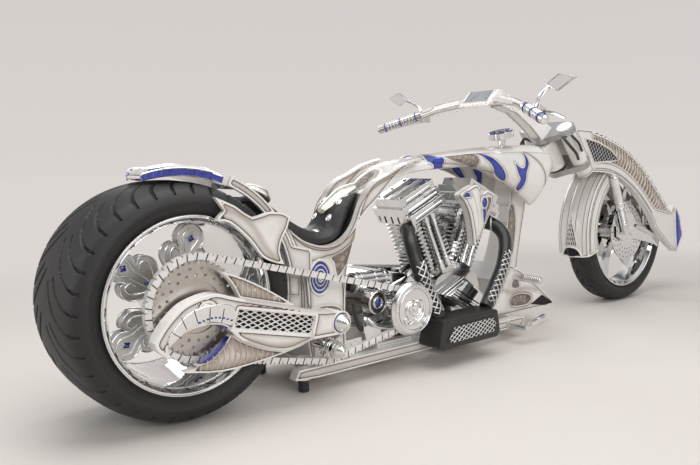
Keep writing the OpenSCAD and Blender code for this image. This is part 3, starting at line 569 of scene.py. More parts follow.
def at(x, y, z):
    """A place in mm from the rear axle's foot, as a place in the shared frame."""
    return Vector((x - MID_X, y, z)) / 1000.0


def toward(axis):
    """A turn that takes +Z to an axis."""
    return Vector(axis).normalized().to_track_quat("Z", "Y").to_matrix().to_4x4()


def rod(bm, place, axis, radius, length, end=None, sides=24, look=0):
    """A round bar or cone, in mm, from a place along an axis."""
    made = bmesh.ops.create_cone(bm, cap_ends=True, segments=sides, radius1=radius / 1000,
        radius2=(radius if end is None else end) / 1000, depth=length / 1000,
        matrix=Matrix.Translation(at(*place)) @ toward(axis) @ Matrix.Translation((0, 0, length / 2000)))
    for f in once(f for v in made["verts"] for f in v.link_faces):
        f.material_index = look
    return made["verts"]


def ball(bm, place, size, axis=(0, 0, 1), sides=20, look=0):
    """A ball or a lens-shaped stone, in mm, with its third size along an axis."""
    made = bmesh.ops.create_uvsphere(bm, u_segments=sides, v_segments=sides // 2, radius=0.001,
        matrix=Matrix.Translation(at(*place)) @ toward(axis) @ Matrix.Diagonal((*size, 1)))
    for f in once(f for v in made["verts"] for f in v.link_faces):
        f.material_index = look
    return made["verts"]


def ring(bm, place, axis, radius, thick, sides=48, look=0, squash=1.0):
    """A round wire ring, in mm, made by spinning its section."""
    made = bmesh.ops.create_circle(bm, cap_ends=False, segments=10, radius=thick / 1000,
        matrix=Matrix.Translation((radius / 1000, 0, 0)) @ Matrix.Rotation(math.pi / 2, 4, "X"))
    bmesh.ops.spin(bm, geom=made["verts"] + once(e for v in made["verts"] for e in v.link_edges),
        cent=(0, 0, 0), axis=(0, 0, 1), angle=math.tau, steps=sides, use_merge=True, use_duplicate=False)
    verts = list(made["verts"])
    known = set(verts)
    for v in verts:
        for e in v.link_edges:
            o = e.other_vert(v)
            if o not in known:
                known.add(o)
                verts.append(o)
    faces = once(f for v in verts for f in v.link_faces)
    bmesh.ops.transform(bm, matrix=Matrix.Translation(at(*place)) @ toward(axis)
        @ Matrix.Diagonal((squash, 1, 1, 1)), verts=verts)
    for f in faces:
        f.material_index = look
    bmesh.ops.recalc_face_normals(bm, faces=faces)


def wire(bm, points, radius, look=0, sides=3, closed=False, smooth=True):
    """A round wire, hose or rib through points in mm; its radius may change. Drawn by draw_wires."""
    line = curve_through(points, closed, 6) if smooth else np.array(points, float)
    shares = np.linspace(0, 1, len(line))
    if isinstance(radius, (list, tuple)):
        sizes = np.interp(shares, np.linspace(0, 1, len(radius)), radius)
    else:
        sizes = np.full(len(line), float(radius))
    wires.append((line, sizes, look, sides, closed))


def slab(bm, outline, y0, y1, round_by=1.5, look=0, axis="y"):
    """A plate cut to an outline in mm, between two levels on the axis across it, its edges rounded."""
    k = "xyz".index(axis)
    verts = [bm.verts.new(at(p[0], y0, p[1]) if axis == "y" else at(y0, p[0], p[1])) for p in outline]
    face = bm.faces.new(verts)
    out = bmesh.ops.extrude_face_region(bm, geom=[face])
    top = [v for v in out["geom"] if isinstance(v, bmesh.types.BMVert)]
    step = Vector()
    step[k] = (y1 - y0) / 1000
    bmesh.ops.translate(bm, vec=step, verts=top)
    faces = once(f for v in verts + top for f in v.link_faces)
    bmesh.ops.recalc_face_normals(bm, faces=faces)
    for f in faces:
        f.material_index = look
    if round_by:
        rim = [e for f in faces for e in f.edges if abs(e.verts[0].co[k] - e.verts[1].co[k]) < 1e-7
            and e.calc_face_angle(0.0) > 0.8]
        bmesh.ops.bevel(bm, geom=once(rim), offset=round_by / 1000, offset_type="OFFSET", segments=2,
            profile=0.5, affect="EDGES", clamp_overlap=True, material=-1)


def surface(mesh):
    """A mesh as a tree that rays can be cast on."""
    bm = bmesh.new()
    bm.from_mesh(mesh)
    tree = bvhtree.BVHTree.FromBMesh(bm)
    bm.free()
    return tree


def touch(tree, start, way):
    """Where a ray from a place in mm first meets a node: the place in mm and the outward normal."""
    hit, normal, _, _ = tree.ray_cast(at(*start), Vector(way).normalized())
    if hit is None:
        return None, None
    return (hit.x * 1000 + MID_X, hit.y * 1000, hit.z * 1000), normal


MEDAL_X, MEDAL_Z = 464, 352
chrome = metal("chrome", (0.80, 0.80, 0.80), 0.06, 0.03)
enamel = gloss("blue_enamel", (0.015, 0.036, 0.34), (0.006, 0.013, 0.17), 0.15)
ivory = gloss("white_enamel", WHITE, (0.70, 0.67, 0.63), 0.25)
bm = bmesh.new()
for side in (-1, 1):
    face = (0, side, 0)
    ball(bm, (MEDAL_X, side * 119, MEDAL_Z), (40, 54, 6), face, 32, 1)
    for scale, thick, look in ((1.0, 5.0, 2), (0.72, 2.4, 2), (0.46, 2.4, 2), (0.24, 2.6, 0)):
        ring(bm, (MEDAL_X, side * (120.5 + 5 * (1 - scale)), MEDAL_Z), face, 56 * scale, thick, 48, look,
            0.74)
    ball(bm, (MEDAL_X, side * 125, MEDAL_Z), (7, 9, 4), face, 16, 2)
    for i in range(9):
        share = i / 8
        wire(bm, [(320 + 44 * share, side * 109, 450 - 18 * share - 22 * share ** 2),
                (334 + 38 * share, side * 110.5, 396 - 4 * share)], 1.6, 2, 2)
    for line in ([(347, 517), (365, 494), (396, 467), (433, 448), (471, 438), (505, 437), (548, 449),
                (585, 479), (614, 524), (640, 578), (694, 626), (784, 664)],
            [(386, 434), (410, 416), (437, 409), (493, 419), (533, 424), (581, 446), (604, 466)],
            [(428, 410), (414, 370), (412, 300), (428, 232), (436, 100)],
            [(548, 348), (556, 300), (556, 200), (556, 100)]):
        wire(bm, [(x, side * 120.2, z) for x, z in line], 1.3, 3, 2)
    wire(bm, [(372, side * 108.3, 452), (394, side * 108.3, 402), (400, side * 108.3, 330),
            (402, side * 108.3, 230)], 1.3, 3, 2)
    wire(bm, [(x, side * 108.3, z) for x, z in ((358, 366), (392, 358), (390, 304), (358, 312))], 1.1, 3, 2,
        True, False)
spine_lines = (
    (True, [(690, 656), (712, 679), (748, 699), (812, 700), (766, 660), (684, 609)]),
    (False, [(666, 542), (720, 600), (784, 653), (860, 688), (948, 712), (1030, 724)]))
tank_lines = (
    (True, [(1062, 728), (1115, 738), (1207, 740), (1208, 684), (1159, 696), (1093, 712)]),
    (True, [(1216, 740), (1260, 722), (1310, 664), (1279, 669), (1222, 680)]),
    (False, [(1520, 742), (1580, 700), (1618, 650), (1628, 610)]))
for skin, shapes in ((surface(spine.data), spine_lines), (surface(tank.data), tank_lines)):
    for side in (-1, 1):
        for closed, shape in shapes:
            spots = [touch(skin, (x, side * 400, z), (0, -side, 0))[0]
                for x, z in curve_through(shape, closed, 6)]
            spots = [p for p in spots if p]
            if len(spots) > 2:
                wire(bm, spots, 1.3, 3, 2, False, False)
spot, normal = touch(surface(spine.data), (960, 0, 900), (0, 0, -1))
ball(bm, spot, (28, 14, 6), normal, 24, 1)
ring(bm, spot, normal, 14, 2.4, 32, 0, 2.0)
pinstripe = gloss("pinstripe", (0.085, 0.065, 0.055), (0.05, 0.04, 0.035), 0.3, 30.0)
seat_piece(bm, "medallions", [chrome, enamel, ivory, pinstripe], "chassis", angle=50)

# Seat: a black lacquered pan on the rails, a leather pad stuffed and laced on it, a pewter saddle
# horn at the nose and a pewter cap on the backrest. Six oval studs hold the pad at the nose.
black = gloss("black_lacquer", (0.018, 0.017, 0.017), (0.010, 0.010, 0.010), 0.28, 40.0, 0.4)
leather = gloss("leather", (0.020, 0.018, 0.017), (0.011, 0.010, 0.010), 0.48, 420.0, 0.0, 0.35)
pewter = metal("pewter", (0.62, 0.60, 0.54), 0.30, 0.06, 0.12, 60.0)
dressed("seat_pan", black, "chassis", 0.002, 2)
bm = node_copy("seat_pad")
middle = sum((v.co for v in bm.verts), Vector()) / len(bm.verts)
for v in bm.verts:
    v.co += (middle - v.co) * 0.015
pad_mesh = bpy.data.meshes.new("seat_cushion")
bm.to_mesh(pad_mesh)
bm.free()
pad = bpy.data.objects.new("seat_cushion", pad_mesh)
bpy.context.scene.collection.objects.link(pad)
remesh = pad.modifiers.new("even", "REMESH")
remesh.mode, remesh.voxel_size = "VOXEL", 0.006
even = bpy.data.meshes.new_from_object(pad.evaluated_get(bpy.context.evaluated_depsgraph_get()))
pad.modifiers.clear()
pad.data = even
start = np.empty(len(even.vertices) * 3)
even.vertices.foreach_get("co", start)
stuffing = pad.modifiers.new("stuffing", "CLOTH")
stuffing.settings.use_pressure = True
stuffing.settings.uniform_pressure_force = 4.0
stuffing.settings.effector_weights.gravity = 0.0
stuffing.point_cache.frame_end = 20
for step in range(1, 21):
    bpy.context.scene.frame_set(step)
swollen = bpy.data.meshes.new_from_object(pad.evaluated_get(bpy.context.evaluated_depsgraph_get()))
pad.modifiers.clear()
bpy.context.scene.frame_set(1)
moved = np.empty(len(swollen.vertices) * 3)
swollen.vertices.foreach_get("co", moved)
shift = (moved - start).reshape(-1, 3)
far = np.linalg.norm(shift, axis=1, keepdims=True)
shift *= np.minimum(1.0, 0.006 / np.maximum(far, 1e-9))
swollen.vertices.foreach_set("co", (start.reshape(-1, 3) + shift).ravel())
pad.data = swollen
for polygon in pad.data.polygons:
    polygon.use_smooth = True
pad.data.materials.clear()
pad.data.materials.append(leather)
smoother = pad.modifiers.new("hide", "SMOOTH")
smoother.factor, smoother.iterations = 0.5, 8
finer = pad.modifiers.new("finer", "SUBSURF")
finer.levels = finer.render_levels = 1
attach(pad, "chassis")
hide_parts("seat_pad")
bm = bmesh.new()
horn = [(562, 0, 552), (606, 0, 576), (652, 0, 601), (696, 0, 620), (722, 0, 634)]
cap = [(258, 0, 634), (286, 0, 634), (320, 0, 618), (346, 0, 596)]
for line, sizes, wide in ((horn, [12, 21, 26, 21, 8], 1.6), (cap, [9, 19, 23, 12], 2.3)):
    wire(bm, line, sizes, 0, 8)
    draw_wires(bm)
    bmesh.ops.scale(bm, vec=(1, wide, 1), verts=[v for v in bm.verts if not v.tag])
    for v in bm.verts:
        v.tag = True
seat_piece(bm, "seat_metal", pewter, "chassis", ("seat_trim",), 60)
bm = bmesh.new()
shape = bpy.data.meshes.new_from_object(pad.evaluated_get(bpy.context.evaluated_depsgraph_get()))
skin = surface(shape)
bpy.data.meshes.remove(shape)
for x, y in ((507, -46), (563, -40), (604, -44), (507, 46), (563, 40), (604, 44)):
    spot, normal = touch(skin, (x, y, 800), (0, 0, -1))
    spot = Vector(spot) - normal * 0.5
    ring(bm, spot, normal, 12, 2.6, 24, 0, 0.75)
    ball(bm, spot, (9, 12, 4), normal, 16, 0)
    ball(bm, spot + normal * 3.0, (4, 6, 3), normal, 12, 1)
seat_piece(bm, "seat_studs", [chrome, ivory], "chassis", angle=60)

# Tail: a short laminated fender over the tyre, its blue lamps let into its sides, and the painted
# hoop beside the tyre with the pointed blade that it carries.
REAR_R = 336.5  # the rear tyre's radius, and so its axle's height, in mm
TIP_FROM, TIP_LONG = -40.0, 76.0


def tapered(bm):
    """Draws the tail's rear end in: shorter and, toward its tip, narrower."""
    for v in bm.verts:
        behind = max(0.0, TIP_FROM - (v.co.x * 1000 + MID_X))
        v.co.x += behind * 0.00042
        v.co.y *= 1.0 - 0.6 * min(1.0, behind / TIP_LONG)


bm = node_copy("tail_fender")
tapered(bm)
points = edge_points(bm, math.radians(45))
rounded(bm, 0.003, 2, 45.0)
grid_cut(bm, 0.008, "xy")
mark_edges(bm, points)
tail = seat_piece(bm, "tail_fender_skin", pearl, "chassis", ("tail_fender",), 50.0)
stencil(tail, blue=[[(-92, 62), (-20, 70), (70, 66), (120, 52), (60, 50), (-40, 54)]],
    tan=[[(-60, -1), (0, 26), (70, 20), (110, -1)]], plane="xy")
lens = gloss("blue_lens", (0.016, 0.040, 0.42), (0.008, 0.018, 0.24), 0.12, 90.0)
bm = node_copy("tail_lamps")
rounded(bm, 0.003, 2, 35.0)
grid_cut(bm, 0.012, "x")
tapered(bm)
seat_piece(bm, "tail_lamps_skin", lens, "chassis", ("tail_lamps",), 40.0)
hoop = dressed("tail_hoop", pearl, "chassis", 0.004, 3, pitch=0.007)
stencil(hoop, lines=[[(88, 596), (140, 572), (180, 535), (215, 480), (250, 440)]])
bm = bmesh.new()
for side in (-1, 1):
    for i in range(9):
        wire(bm, [(-96 + 24 * i, side * 117.0, REAR_R + math.sqrt(353.0 ** 2 - (-96 + 24 * i) ** 2)),
                (-92 + 24 * i, side * 117.0, REAR_R + math.sqrt(368.0 ** 2 - (-92 + 24 * i) ** 2))], 1.2, 0,
            2)
    wire(bm, [(x, side * 116.5, REAR_R + math.sqrt(370.5 ** 2 - x ** 2)) for x in range(-104, 130, 26)],
        2.4, 1, 2)
draw_wires(bm)
tapered(bm)
seat_piece(bm, "tail_lamp_trim", [lens, chrome], "chassis", angle=60)

# Swingarm: one cast arm on the right that ends in a claw round the axle, painted like the frame.
# A white lattice fills its window over a dark net, and two ribbed, riveted wings are bolted behind it.
pearl_arm = pearl_paint("pearl_arm", lip=9.0, fade=20.0, depth=0.7)
arm = dressed("swingarm", pearl_arm, "chassis", 0.008, 4, pitch=0.006)
stencil(arm, blue=[[(2, 300), (31, 297), (58, 284), (43, 279), (14, 289)]],
    lines=[[(120, 352), (200, 331), (300, 302), (400, 280)],
        [(120, 234), (200, 206), (280, 200), (330, 208)]])
wing_paint = pearl_paint("wing_tan", lip=5.0, fade=70.0, depth=1.1)
wings = dressed("swingarm_wings", wing_paint, "chassis", 0.003, 2, pitch=0.006)
stencil(wings, blue=[[(-43, 196), (-3, 213), (36, 244), (55, 270), (74, 262), (41, 222), (5, 199)],
        [(46, 425), (63, 406), (78, 386), (92, 360), (71, 368), (58, 393)]])
white_lacquer = gloss("white_lacquer", WHITE, (0.72, 0.695, 0.665), 0.25, 30.0)
tan_lacquer = gloss("tan_lacquer", (0.60, 0.53, 0.46), (0.47, 0.40, 0.33), 0.35, 30.0, 0.5)


def lattice(bm, outline, y, pitch, lean, thick, look=0, turn=0.0):
    """Crossing bars inside an outline, in mm."""
    outline = np.array(outline, float)
    middle = outline.mean(axis=0)
    for hand in (-1, 1):
        way = math.radians(hand * lean + turn)
        d = np.array((math.cos(way), math.sin(way)))
        n = np.array((-d[1], d[0]))
        for k in range(-60, 61):
            origin = middle + n * pitch * k
            cuts = []
            for a, b in zip(outline, np.roll(outline, -1, axis=0)):
                fa, fb = (a - origin) @ n, (b - origin) @ n
                if (fa > 0) != (fb > 0):
                    p = a + (b - a) * fa / (fa - fb)
                    cuts.append((p - origin) @ d)
            cuts.sort()
            for s0, s1 in zip(cuts[::2], cuts[1::2]):
                if s1 - s0 > thick:
                    p, q = origin + d * s0, origin + d * s1
                    wire(bm, [(p[0], y, p[1]), (q[0], y, q[1])], thick, look, 1, False, False)


grille = [(92, 328), (345, 270), (330, 218), (76, 278)]
bm = bmesh.new()
lattice(bm, grille, -253, 12.8, 26, 2.0, 0, -13)
wire(bm, [(x, -254, z) for x, z in grille], 2.6, 0, 2, True, False)
seat_piece(bm, "swingarm_lattice", white_lacquer, "chassis", ("swingarm_grille",), 60)
bm = bmesh.new()
skin = surface(nodes["swingarm_wings"].data)
for low, high, first, last, step, lean in ((155, 262, -30, 290, 17, 14), (305, 436, 62, 270, 16, -16)):
    for x in range(first, last, step):
        run = []
        for k in range(60):
            share = k / 59
            spot, _ = touch(skin, (x + lean * math.sin(math.pi * share), -320, low + (high - low) * share),
                (0, 1, 0))
            if spot and spot[1] < -240:
                run.append((spot[0], spot[1] - 0.2, spot[2]))
        if len(run) > 10:
            run = run[3:-3]
            wire(bm, [run[0], run[len(run) // 2], run[-1]], [1.2, 3.0, 1.2], 0, 2)
            if (x - first) // step % 4 == 2:
                ball(bm, (run[len(run) // 2][0] + step / 2, -246, run[len(run) // 2][2]), (6, 6, 3.4),
                    (0, -1, 0), 14, 0)
slab(bm, grille, -249, -246, 0, 1)
for i in range(12):
    for j in range(2):
        x = 106 + 19.6 * i
        ball(bm, (x, -250, 306 - 0.23 * (x - 92) - 21 * j + (4 if i % 2 else -4)), (3.4, 3.4, 2.4),
            (0, -1, 0), 10, 2)
net = metal("dark_net", (0.035, 0.034, 0.034), 0.4, 0.05)
seat_piece(bm, "wing_ribs", [tan_lacquer, net, enamel], "chassis", angle=60)
PIVOT_X, PIVOT_Z = 437, 236
IDLER_X, IDLER_Z = 435, 147
dressed("swingarm_trim", chrome, "chassis", 0.003, 3)
bm = bmesh.new()
for x, z, dx, dz in ((-96, 292, -14, 10), (-72, 318, -8, 18), (-38, 330, -6, 20), (2, 330, 2, 20),
        (40, 322, 6, 20)):
    wire(bm, [(x - dx, -268.2, z - dz), (x, -268.6, z), (x + dx * 0.6, -268.2, z + dz * 0.8)], 1.0, 0, 2)
for i in range(9):
    share = i / 8
    ball(bm, (-28 + 92 * share, -268.5, 312 + 10 * math.sin(math.pi * share) - 8 * share), (4.2, 3.0, 2.2),
        (0, -1, 0), 10, 1)
ring(bm, (PIVOT_X, -262.5, PIVOT_Z), (0, -1, 0), 33, 3.0, 40, 2)
rod(bm, (PIVOT_X, -261, PIVOT_Z), (0, -1, 0), 33, 2.2, 31, 40, 1)
for y, radius in ((-270, 26.5), (-276, 22.6), (-283, 18.4)):
    ring(bm, (PIVOT_X, y, PIVOT_Z), (0, -1, 0), radius, 1.1, 32, 3)
for y, radius in ((-222, 28.4), (-230, 27.6), (-246, 24.6), (-256, 21)):
    ring(bm, (IDLER_X, y, IDLER_Z), (0, -1, 0), radius, 1.2, 32, 3)
seat_piece(bm, "arm_jewels", [net, enamel, ivory, chrome], "chassis", angle=60)

# Rear drive: a roller chain with white enamelled plates and dark gaps between them, on a tan steel
# rotor-and-sprocket wheel drilled in two rows, a plated front sprocket and an idler.
dressed("chain", white_lacquer, "chassis", 0.0006, 1)
dressed("chain_links", white_lacquer, "chassis", 0.0012, 2)
DRIVE_X, DRIVE_Z = 770, 222
LINKS = 76
hull = [p for cx, cz, r in ((0, REAR_R, 138), (IDLER_X, IDLER_Z, 42), (DRIVE_X, DRIVE_Z, 58))
    for p in [(cx + r * math.cos(math.tau * i / 180), cz + r * math.sin(math.tau * i / 180))
        for i in range(180)]]
loop = np.array([hull[i] for i in geometry.convex_hull_2d([Vector(p) for p in hull])])
loop = np.vstack((loop, loop[:1]))
reach = np.concatenate(([0], np.cumsum(np.hypot(*np.diff(loop, axis=0).T))))
bm = bmesh.new()
for k in range(LINKS):
    place = reach[-1] * (k + 0.5) / LINKS
    p = np.array([np.interp(place, reach, loop[:, c]) for c in (0, 1)])
    q = np.array([np.interp((place + 2) % reach[-1], reach, loop[:, c]) for c in (0, 1)])
    t = (q - p) / max(np.linalg.norm(q - p), 1e-6)
    n = np.array((t[1], -t[0]))
    for y in (-206.4, -185.6):
        wire(bm, [(p[0] + n[0] * 10 - t[0] * 2, y, p[1] + n[1] * 10 - t[1] * 2),
                (p[0] - n[0] * 9 + t[0] * 2, y, p[1] - n[1] * 9 + t[1] * 2)], 1.5, 0, 1, False, False)
seat_piece(bm, "chain_gaps", net, "chassis", angle=50)
dressed("drive_sprockets", chrome, "chassis", 0.0008, 1)
dressed("rear_axle", chrome, "chassis", 0.002, 2)
rotor_tan = metal("rotor_tan", (0.53, 0.495, 0.45), 0.30, 0.05)
dressed("rear_sprocket", rotor_tan, "rear_wheel", 0.0006, 1)

# Rear wheel: billet aluminium, plated; a deep rim with five carved leaf spokes. Each leaf has raised
# veins, two scrolls and a blue stone in a white setting; the lip has slits cut at every fifteen degrees.
dressed("rear_wheel", chrome, "rear_wheel", 0.002, 2, sharp=30.0, angle=35.0)
bm = bmesh.new()


def hub_place(radius, angle, y, across=0.0, centre=(0.0, REAR_R)):
    """A place on a wheel, in mm: along a spoke at an angle, and across it."""
    c, s = math.cos(angle), math.sin(angle)
    return (centre[0] + radius * c - across * s, y, centre[1] - radius * s - across * c)


half_leaf = [(44, 15), (66, 14), (84, 40), (112, 64), (142, 62), (158, 44), (150, 27), (176, 40), (206, 30)]
leaf = half_leaf + [(221, 0)] + [(radius, -across) for radius, across in half_leaf[::-1]]
veins = (
    ([(52, 6), (84, 22), (116, 46), (142, 44), (138, 24), (120, 22)], [2.6, 3.6, 4.2, 3.6, 3.0, 1.6]),
    ([(70, 2), (110, 10), (150, 12), (182, 24), (206, 12)], [2.4, 3.0, 3.4, 3.0, 1.6]))
setting = (20, 9, 15, 9, 16, 9, 15, 9)
for i in range(5):
    angle = math.tau * i / 5
    outline = curve_through([hub_place(radius, angle, 0, across)[::2] for radius, across in leaf], True, 3)
    slab(bm, outline, -60, -27, 3, 4)
    for face, y in ((-1, -60.5), (1, -26.5)):
        wire(bm, [(x, y, z) for x, z in outline], 2.4, 0, 2, True, False)
        for hand in (-1, 1):
            for line, sizes in veins:
                run = [hub_place(radius, angle, y, hand * across) for radius, across in line]
                wire(bm, run, sizes, 0, 3)
        stone = [hub_place(178 + radius * math.cos(math.tau * k / 8), angle, y + face * 1.0,
                radius * math.sin(math.tau * k / 8)) for k, radius in enumerate(setting)]
        wire(bm, stone, 2.4, 2, 2, True, False)
        ball(bm, hub_place(178, angle, y, 0), (12, 10, 4), (0, face, 0), 12, 1)
        ball(bm, hub_place(96, angle, y, 0), (10, 6, 4), (0, face, 0), 12, 1)
for k in range(24):
    turn = math.tau * k / 24
    for face in (-1, 1):
        slit = [hub_place(radius, turn + 0.10 * share, face * wide)
            for radius, share, wide in ((238.5, 0, 171), (233, 0.4, 163), (228, 1, 155))]
        wire(bm, slit, [0.7, 1.3, 0.7], 3, 2)
for radius, wide in ((243, 172.5), (226, 152)):
    for face in (-1, 1):
        ring(bm, (0, face * wide, REAR_R), (0, 1, 0), radius, 1.6, 96, 0)
for k in range(10):
    turn = math.tau * (k + 0.5) / 10
    ball(bm, hub_place(46, turn, -120), (5, 5, 4), (0, -1, 0), 10, 0)
leaf_grey = metal("leaf_grey", (0.62, 0.615, 0.61), 0.40, 0.05)
seat_piece(bm, "rear_wheel_carving", [chrome, enamel, ivory, net, leaf_grey], "rear_wheel", angle=45)

# Tyres: moulded rubber on the rims. The wide rear one has long curved grooves that sweep from its
# crown to its shoulders, and fine moulding lines on its walls; the front one has the same, smaller.
FRONT_X, FRONT_R = 2400, 350.0  # the front axle's place and the front tyre's radius, in mm
rubber = gloss("rubber", (0.018, 0.017, 0.017), (0.011, 0.011, 0.011), 0.58, 160.0, 0.0, 0.15)


def tread_tyre(name, body, centre, radius, width, rim, seat, around, across, pitch, sweep, groove, depth):
    """A tyre spun from its section, with its grooves pressed in. Lengths in mm."""
    half = curve_through([(rim + 2, seat + 2)] + [(rim + (radius - rim) * a, width * b)
            for a, b in ((0.2, 0.48), (0.45, 0.5), (0.8, 0.43), (0.96, 0.24), (1, 0))], False, 40)
    length = np.concatenate(([0], np.cumsum(np.hypot(*np.diff(half, axis=0).T))))
    spots = np.linspace(0, length[-1], across)
    wall = np.column_stack((np.interp(spots, length, half[:, 0]), np.interp(spots, length, half[:, 1])))
    line = [(rim - 8, -seat)] + [(r, -w) for r, w in wall]
    line += [(r, w) for r, w in wall[-2::-1]] + [(rim - 8, seat)]
    bm = bmesh.new()
    verts = [bm.verts.new((0, w / 1000, r / 1000)) for r, w in line]
    edges = [bm.edges.new(pair) for pair in zip(verts, verts[1:] + verts[:1])]
    bmesh.ops.spin(bm, geom=verts + edges, cent=(0, 0, 0), axis=(0, 1, 0), angle=math.tau, steps=around,
        use_merge=True, use_duplicate=False)
    bmesh.ops.remove_doubles(bm, verts=bm.verts[:], dist=1e-6)
    bmesh.ops.recalc_face_normals(bm, faces=bm.faces[:])
    for v in bm.verts:
        r = math.hypot(v.co.x, v.co.z) * 1000
        w = v.co.y * 1000
        share = abs(w) / (width / 2)
        if r > rim + (radius - rim) * 0.42 and share < 0.96:
            angle = math.degrees(math.atan2(v.co.x, v.co.z))
            lean = sweep * (1 - (1 - share) ** 2) + (pitch / 2 if w > 0 else 0.0)
            slope = math.radians(sweep) * 2 * (1 - share) / (width / 2) * r
            off = ((angle - lean) / pitch + 0.5) % 1.0 - 0.5
            mm = abs(off) * math.radians(pitch) * r / math.sqrt(1 + slope * slope)
            longer = math.floor((angle - lean) / pitch + 0.5) % 2
            inner = 0.10 if longer else 0.26
            cut = max(0.0, min(1.0, (groove - mm) / 1.6)) if inner < share < 0.95 else 0.0
            if cut:
                normal = Vector((v.co.x, 0, v.co.z)).normalized()
                v.co -= normal * (cut * depth / 1000)
        elif share > 0.7 and r < rim + (radius - rim) * 0.5:
            v.co.y += math.copysign(0.0007 * max(0.0, math.cos((r - rim) * 1.1)), -w)
    bmesh.ops.translate(bm, vec=at(centre[0], 0, centre[1]), verts=bm.verts[:])
    return seat_piece(bm, name + "_treaded", rubber, body, (name,), 35.0, False)


tread_tyre("rear_tyre", "rear_wheel", (0, REAR_R), REAR_R, 360, 246, 160, 720, 48, 10.0, -27.0, 4.4, 9.0)
tread_tyre("front_tyre", "front_wheel", (FRONT_X, FRONT_R), FRONT_R, 130, 278, 48, 540, 28, 12.0, -14.0,
    3.6, 6.0)

# Engine: an air-cooled vee twin, plated and polished all over. Finned barrels, layered rocker boxes
# bolted through, two pushrod tubes to each cylinder and a stepped, ridged cam cover.
CRANK = (1115, 205)


def vee(lean, across, y, along):
    """A place in mm on one cylinder: across its axis, from the middle, and along it from the crank."""
    a = math.radians(lean + 1)
    return (CRANK[0] + across * math.cos(a) + along * math.sin(a), y,
        CRANK[1] - across * math.sin(a) + along * math.cos(a))


satin = metal("polished_aluminium", (0.72, 0.72, 0.71), 0.14, 0.05)
fin_metal = metal("fin_plate", (0.66, 0.66, 0.655), 0.12, 0.05)
dressed("crankcase", satin, "chassis", 0.004, 3)
dressed("cylinders", fin_metal, "chassis", 0.0010, 1)
dressed("rocker_boxes", chrome, "chassis", 0.005, 3)
dressed("cam_cover", chrome, "chassis", 0.004, 3)
dressed("primary_cover", chrome, "chassis", 0.012, 4)
dressed("carburettor", satin, "chassis", 0.003, 2)
bm = bmesh.new()
for lean in (-25, 25):
    up = Vector(vee(lean, 0, 0, 1)) - Vector(vee(lean, 0, 0, 0))
    for across in (-76, 76):
        for y in (-88, 68):
            rod(bm, vee(lean, across, y, 380), up, 8, 5, 8, 6)
    for across in (-70, 0, 70):
        for y in (-62, 56):
            rod(bm, vee(lean, across, y, 444), up, 7, 5, 7, 6)
    for y, across, high in ((-76, 66, 428), (-86, 76, 396), (-104, 72, 363)):
        wire(bm, [vee(lean, -across, y - 0.5, high), vee(lean, across, y - 0.5, high)], 4.0, 0, 3, False,
            False)
        wire(bm, [vee(lean, -across, y - 0.8, high - 9), vee(lean, across, y - 0.8, high - 9)], 1.3, 1, 2,
            False, False)
    for y in (-30, 24):
        wire(bm, [vee(lean, -74, y, 446), vee(lean, 74, y, 446)], 6.0, 0, 3, False, False)
    for side_across in (-93, 93):
        for y in (-70, -35, 0, 35, 66):
            wire(bm, [vee(lean, side_across, y, 349), vee(lean, side_across, y, 376)], 2.2, 0, 2, False,
                False)
    for across in (-18, 18):
        rod(bm, vee(lean, across, -92, 124), up, 15, 34, 12)
        ball(bm, vee(lean, across, -92, 158), (13, 13, 7), up)
        rod(bm, vee(lean, across, -92, 318), up, 12, 26, 14)
        for v in (176, 190, 300, 312):
            ring(bm, vee(lean, across, -92, v), up, 9.6, 1.6, 24)
    for k in range(12):
        ball(bm, vee(lean, 0, -80.5, 146 + 16.4 * k), (5, 2.4, 3), up, 8)
mid = Vector((-13, -12))
corners = [mid + (Vector(q) - mid) * 0.80 for q in ((2, 75), (124, -13), (48, -75), (-118, 23))]
corners = [(CRANK[0] + q.x, CRANK[1] + q.y) for q in corners]
inward = (Vector(corners[1]) - Vector(corners[2])).normalized()
for k, size in enumerate((3.2, 2.6, 3.2, 2.6)):
    a = Vector(corners[3]) + inward * (7 + 11 * k) + (Vector(corners[2]) - Vector(corners[3])) * 0.06
    b = Vector(corners[2]) + inward * (7 + 11 * k) - (Vector(corners[2]) - Vector(corners[3])) * 0.06
    wire(bm, [(a.x, -160.3, a.y), (b.x, -160.3, b.y)], size, k % 2, 3, False, False)
for x, z in ((1117, 272), (1225, 190), (1158, 134), (1006, 224), (1056, 178), (1180, 232)):
    rod(bm, (x - (x - 1102) * 0.08, -140, z - (z - 193) * 0.08), (0, -1, 0), 6, 3.5, 6, 6)
for centre, radius in (((1115, 205), 92), ((790, 222), 110)):
    ring(bm, (centre[0], 158.5, centre[1]), (0, 1, 0), radius - 26, 3.0, 48)
    for i in range(6):
        angle = math.tau * i / 6 + 0.3
        rod(bm, (centre[0] + (radius - 12) * math.cos(angle), 159,
                centre[1] + (radius - 12) * math.sin(angle)), (0, 1, 0), 5, 4, 5, 6)
seat_piece(bm, "engine_fittings", [chrome, net], "chassis", angle=40)

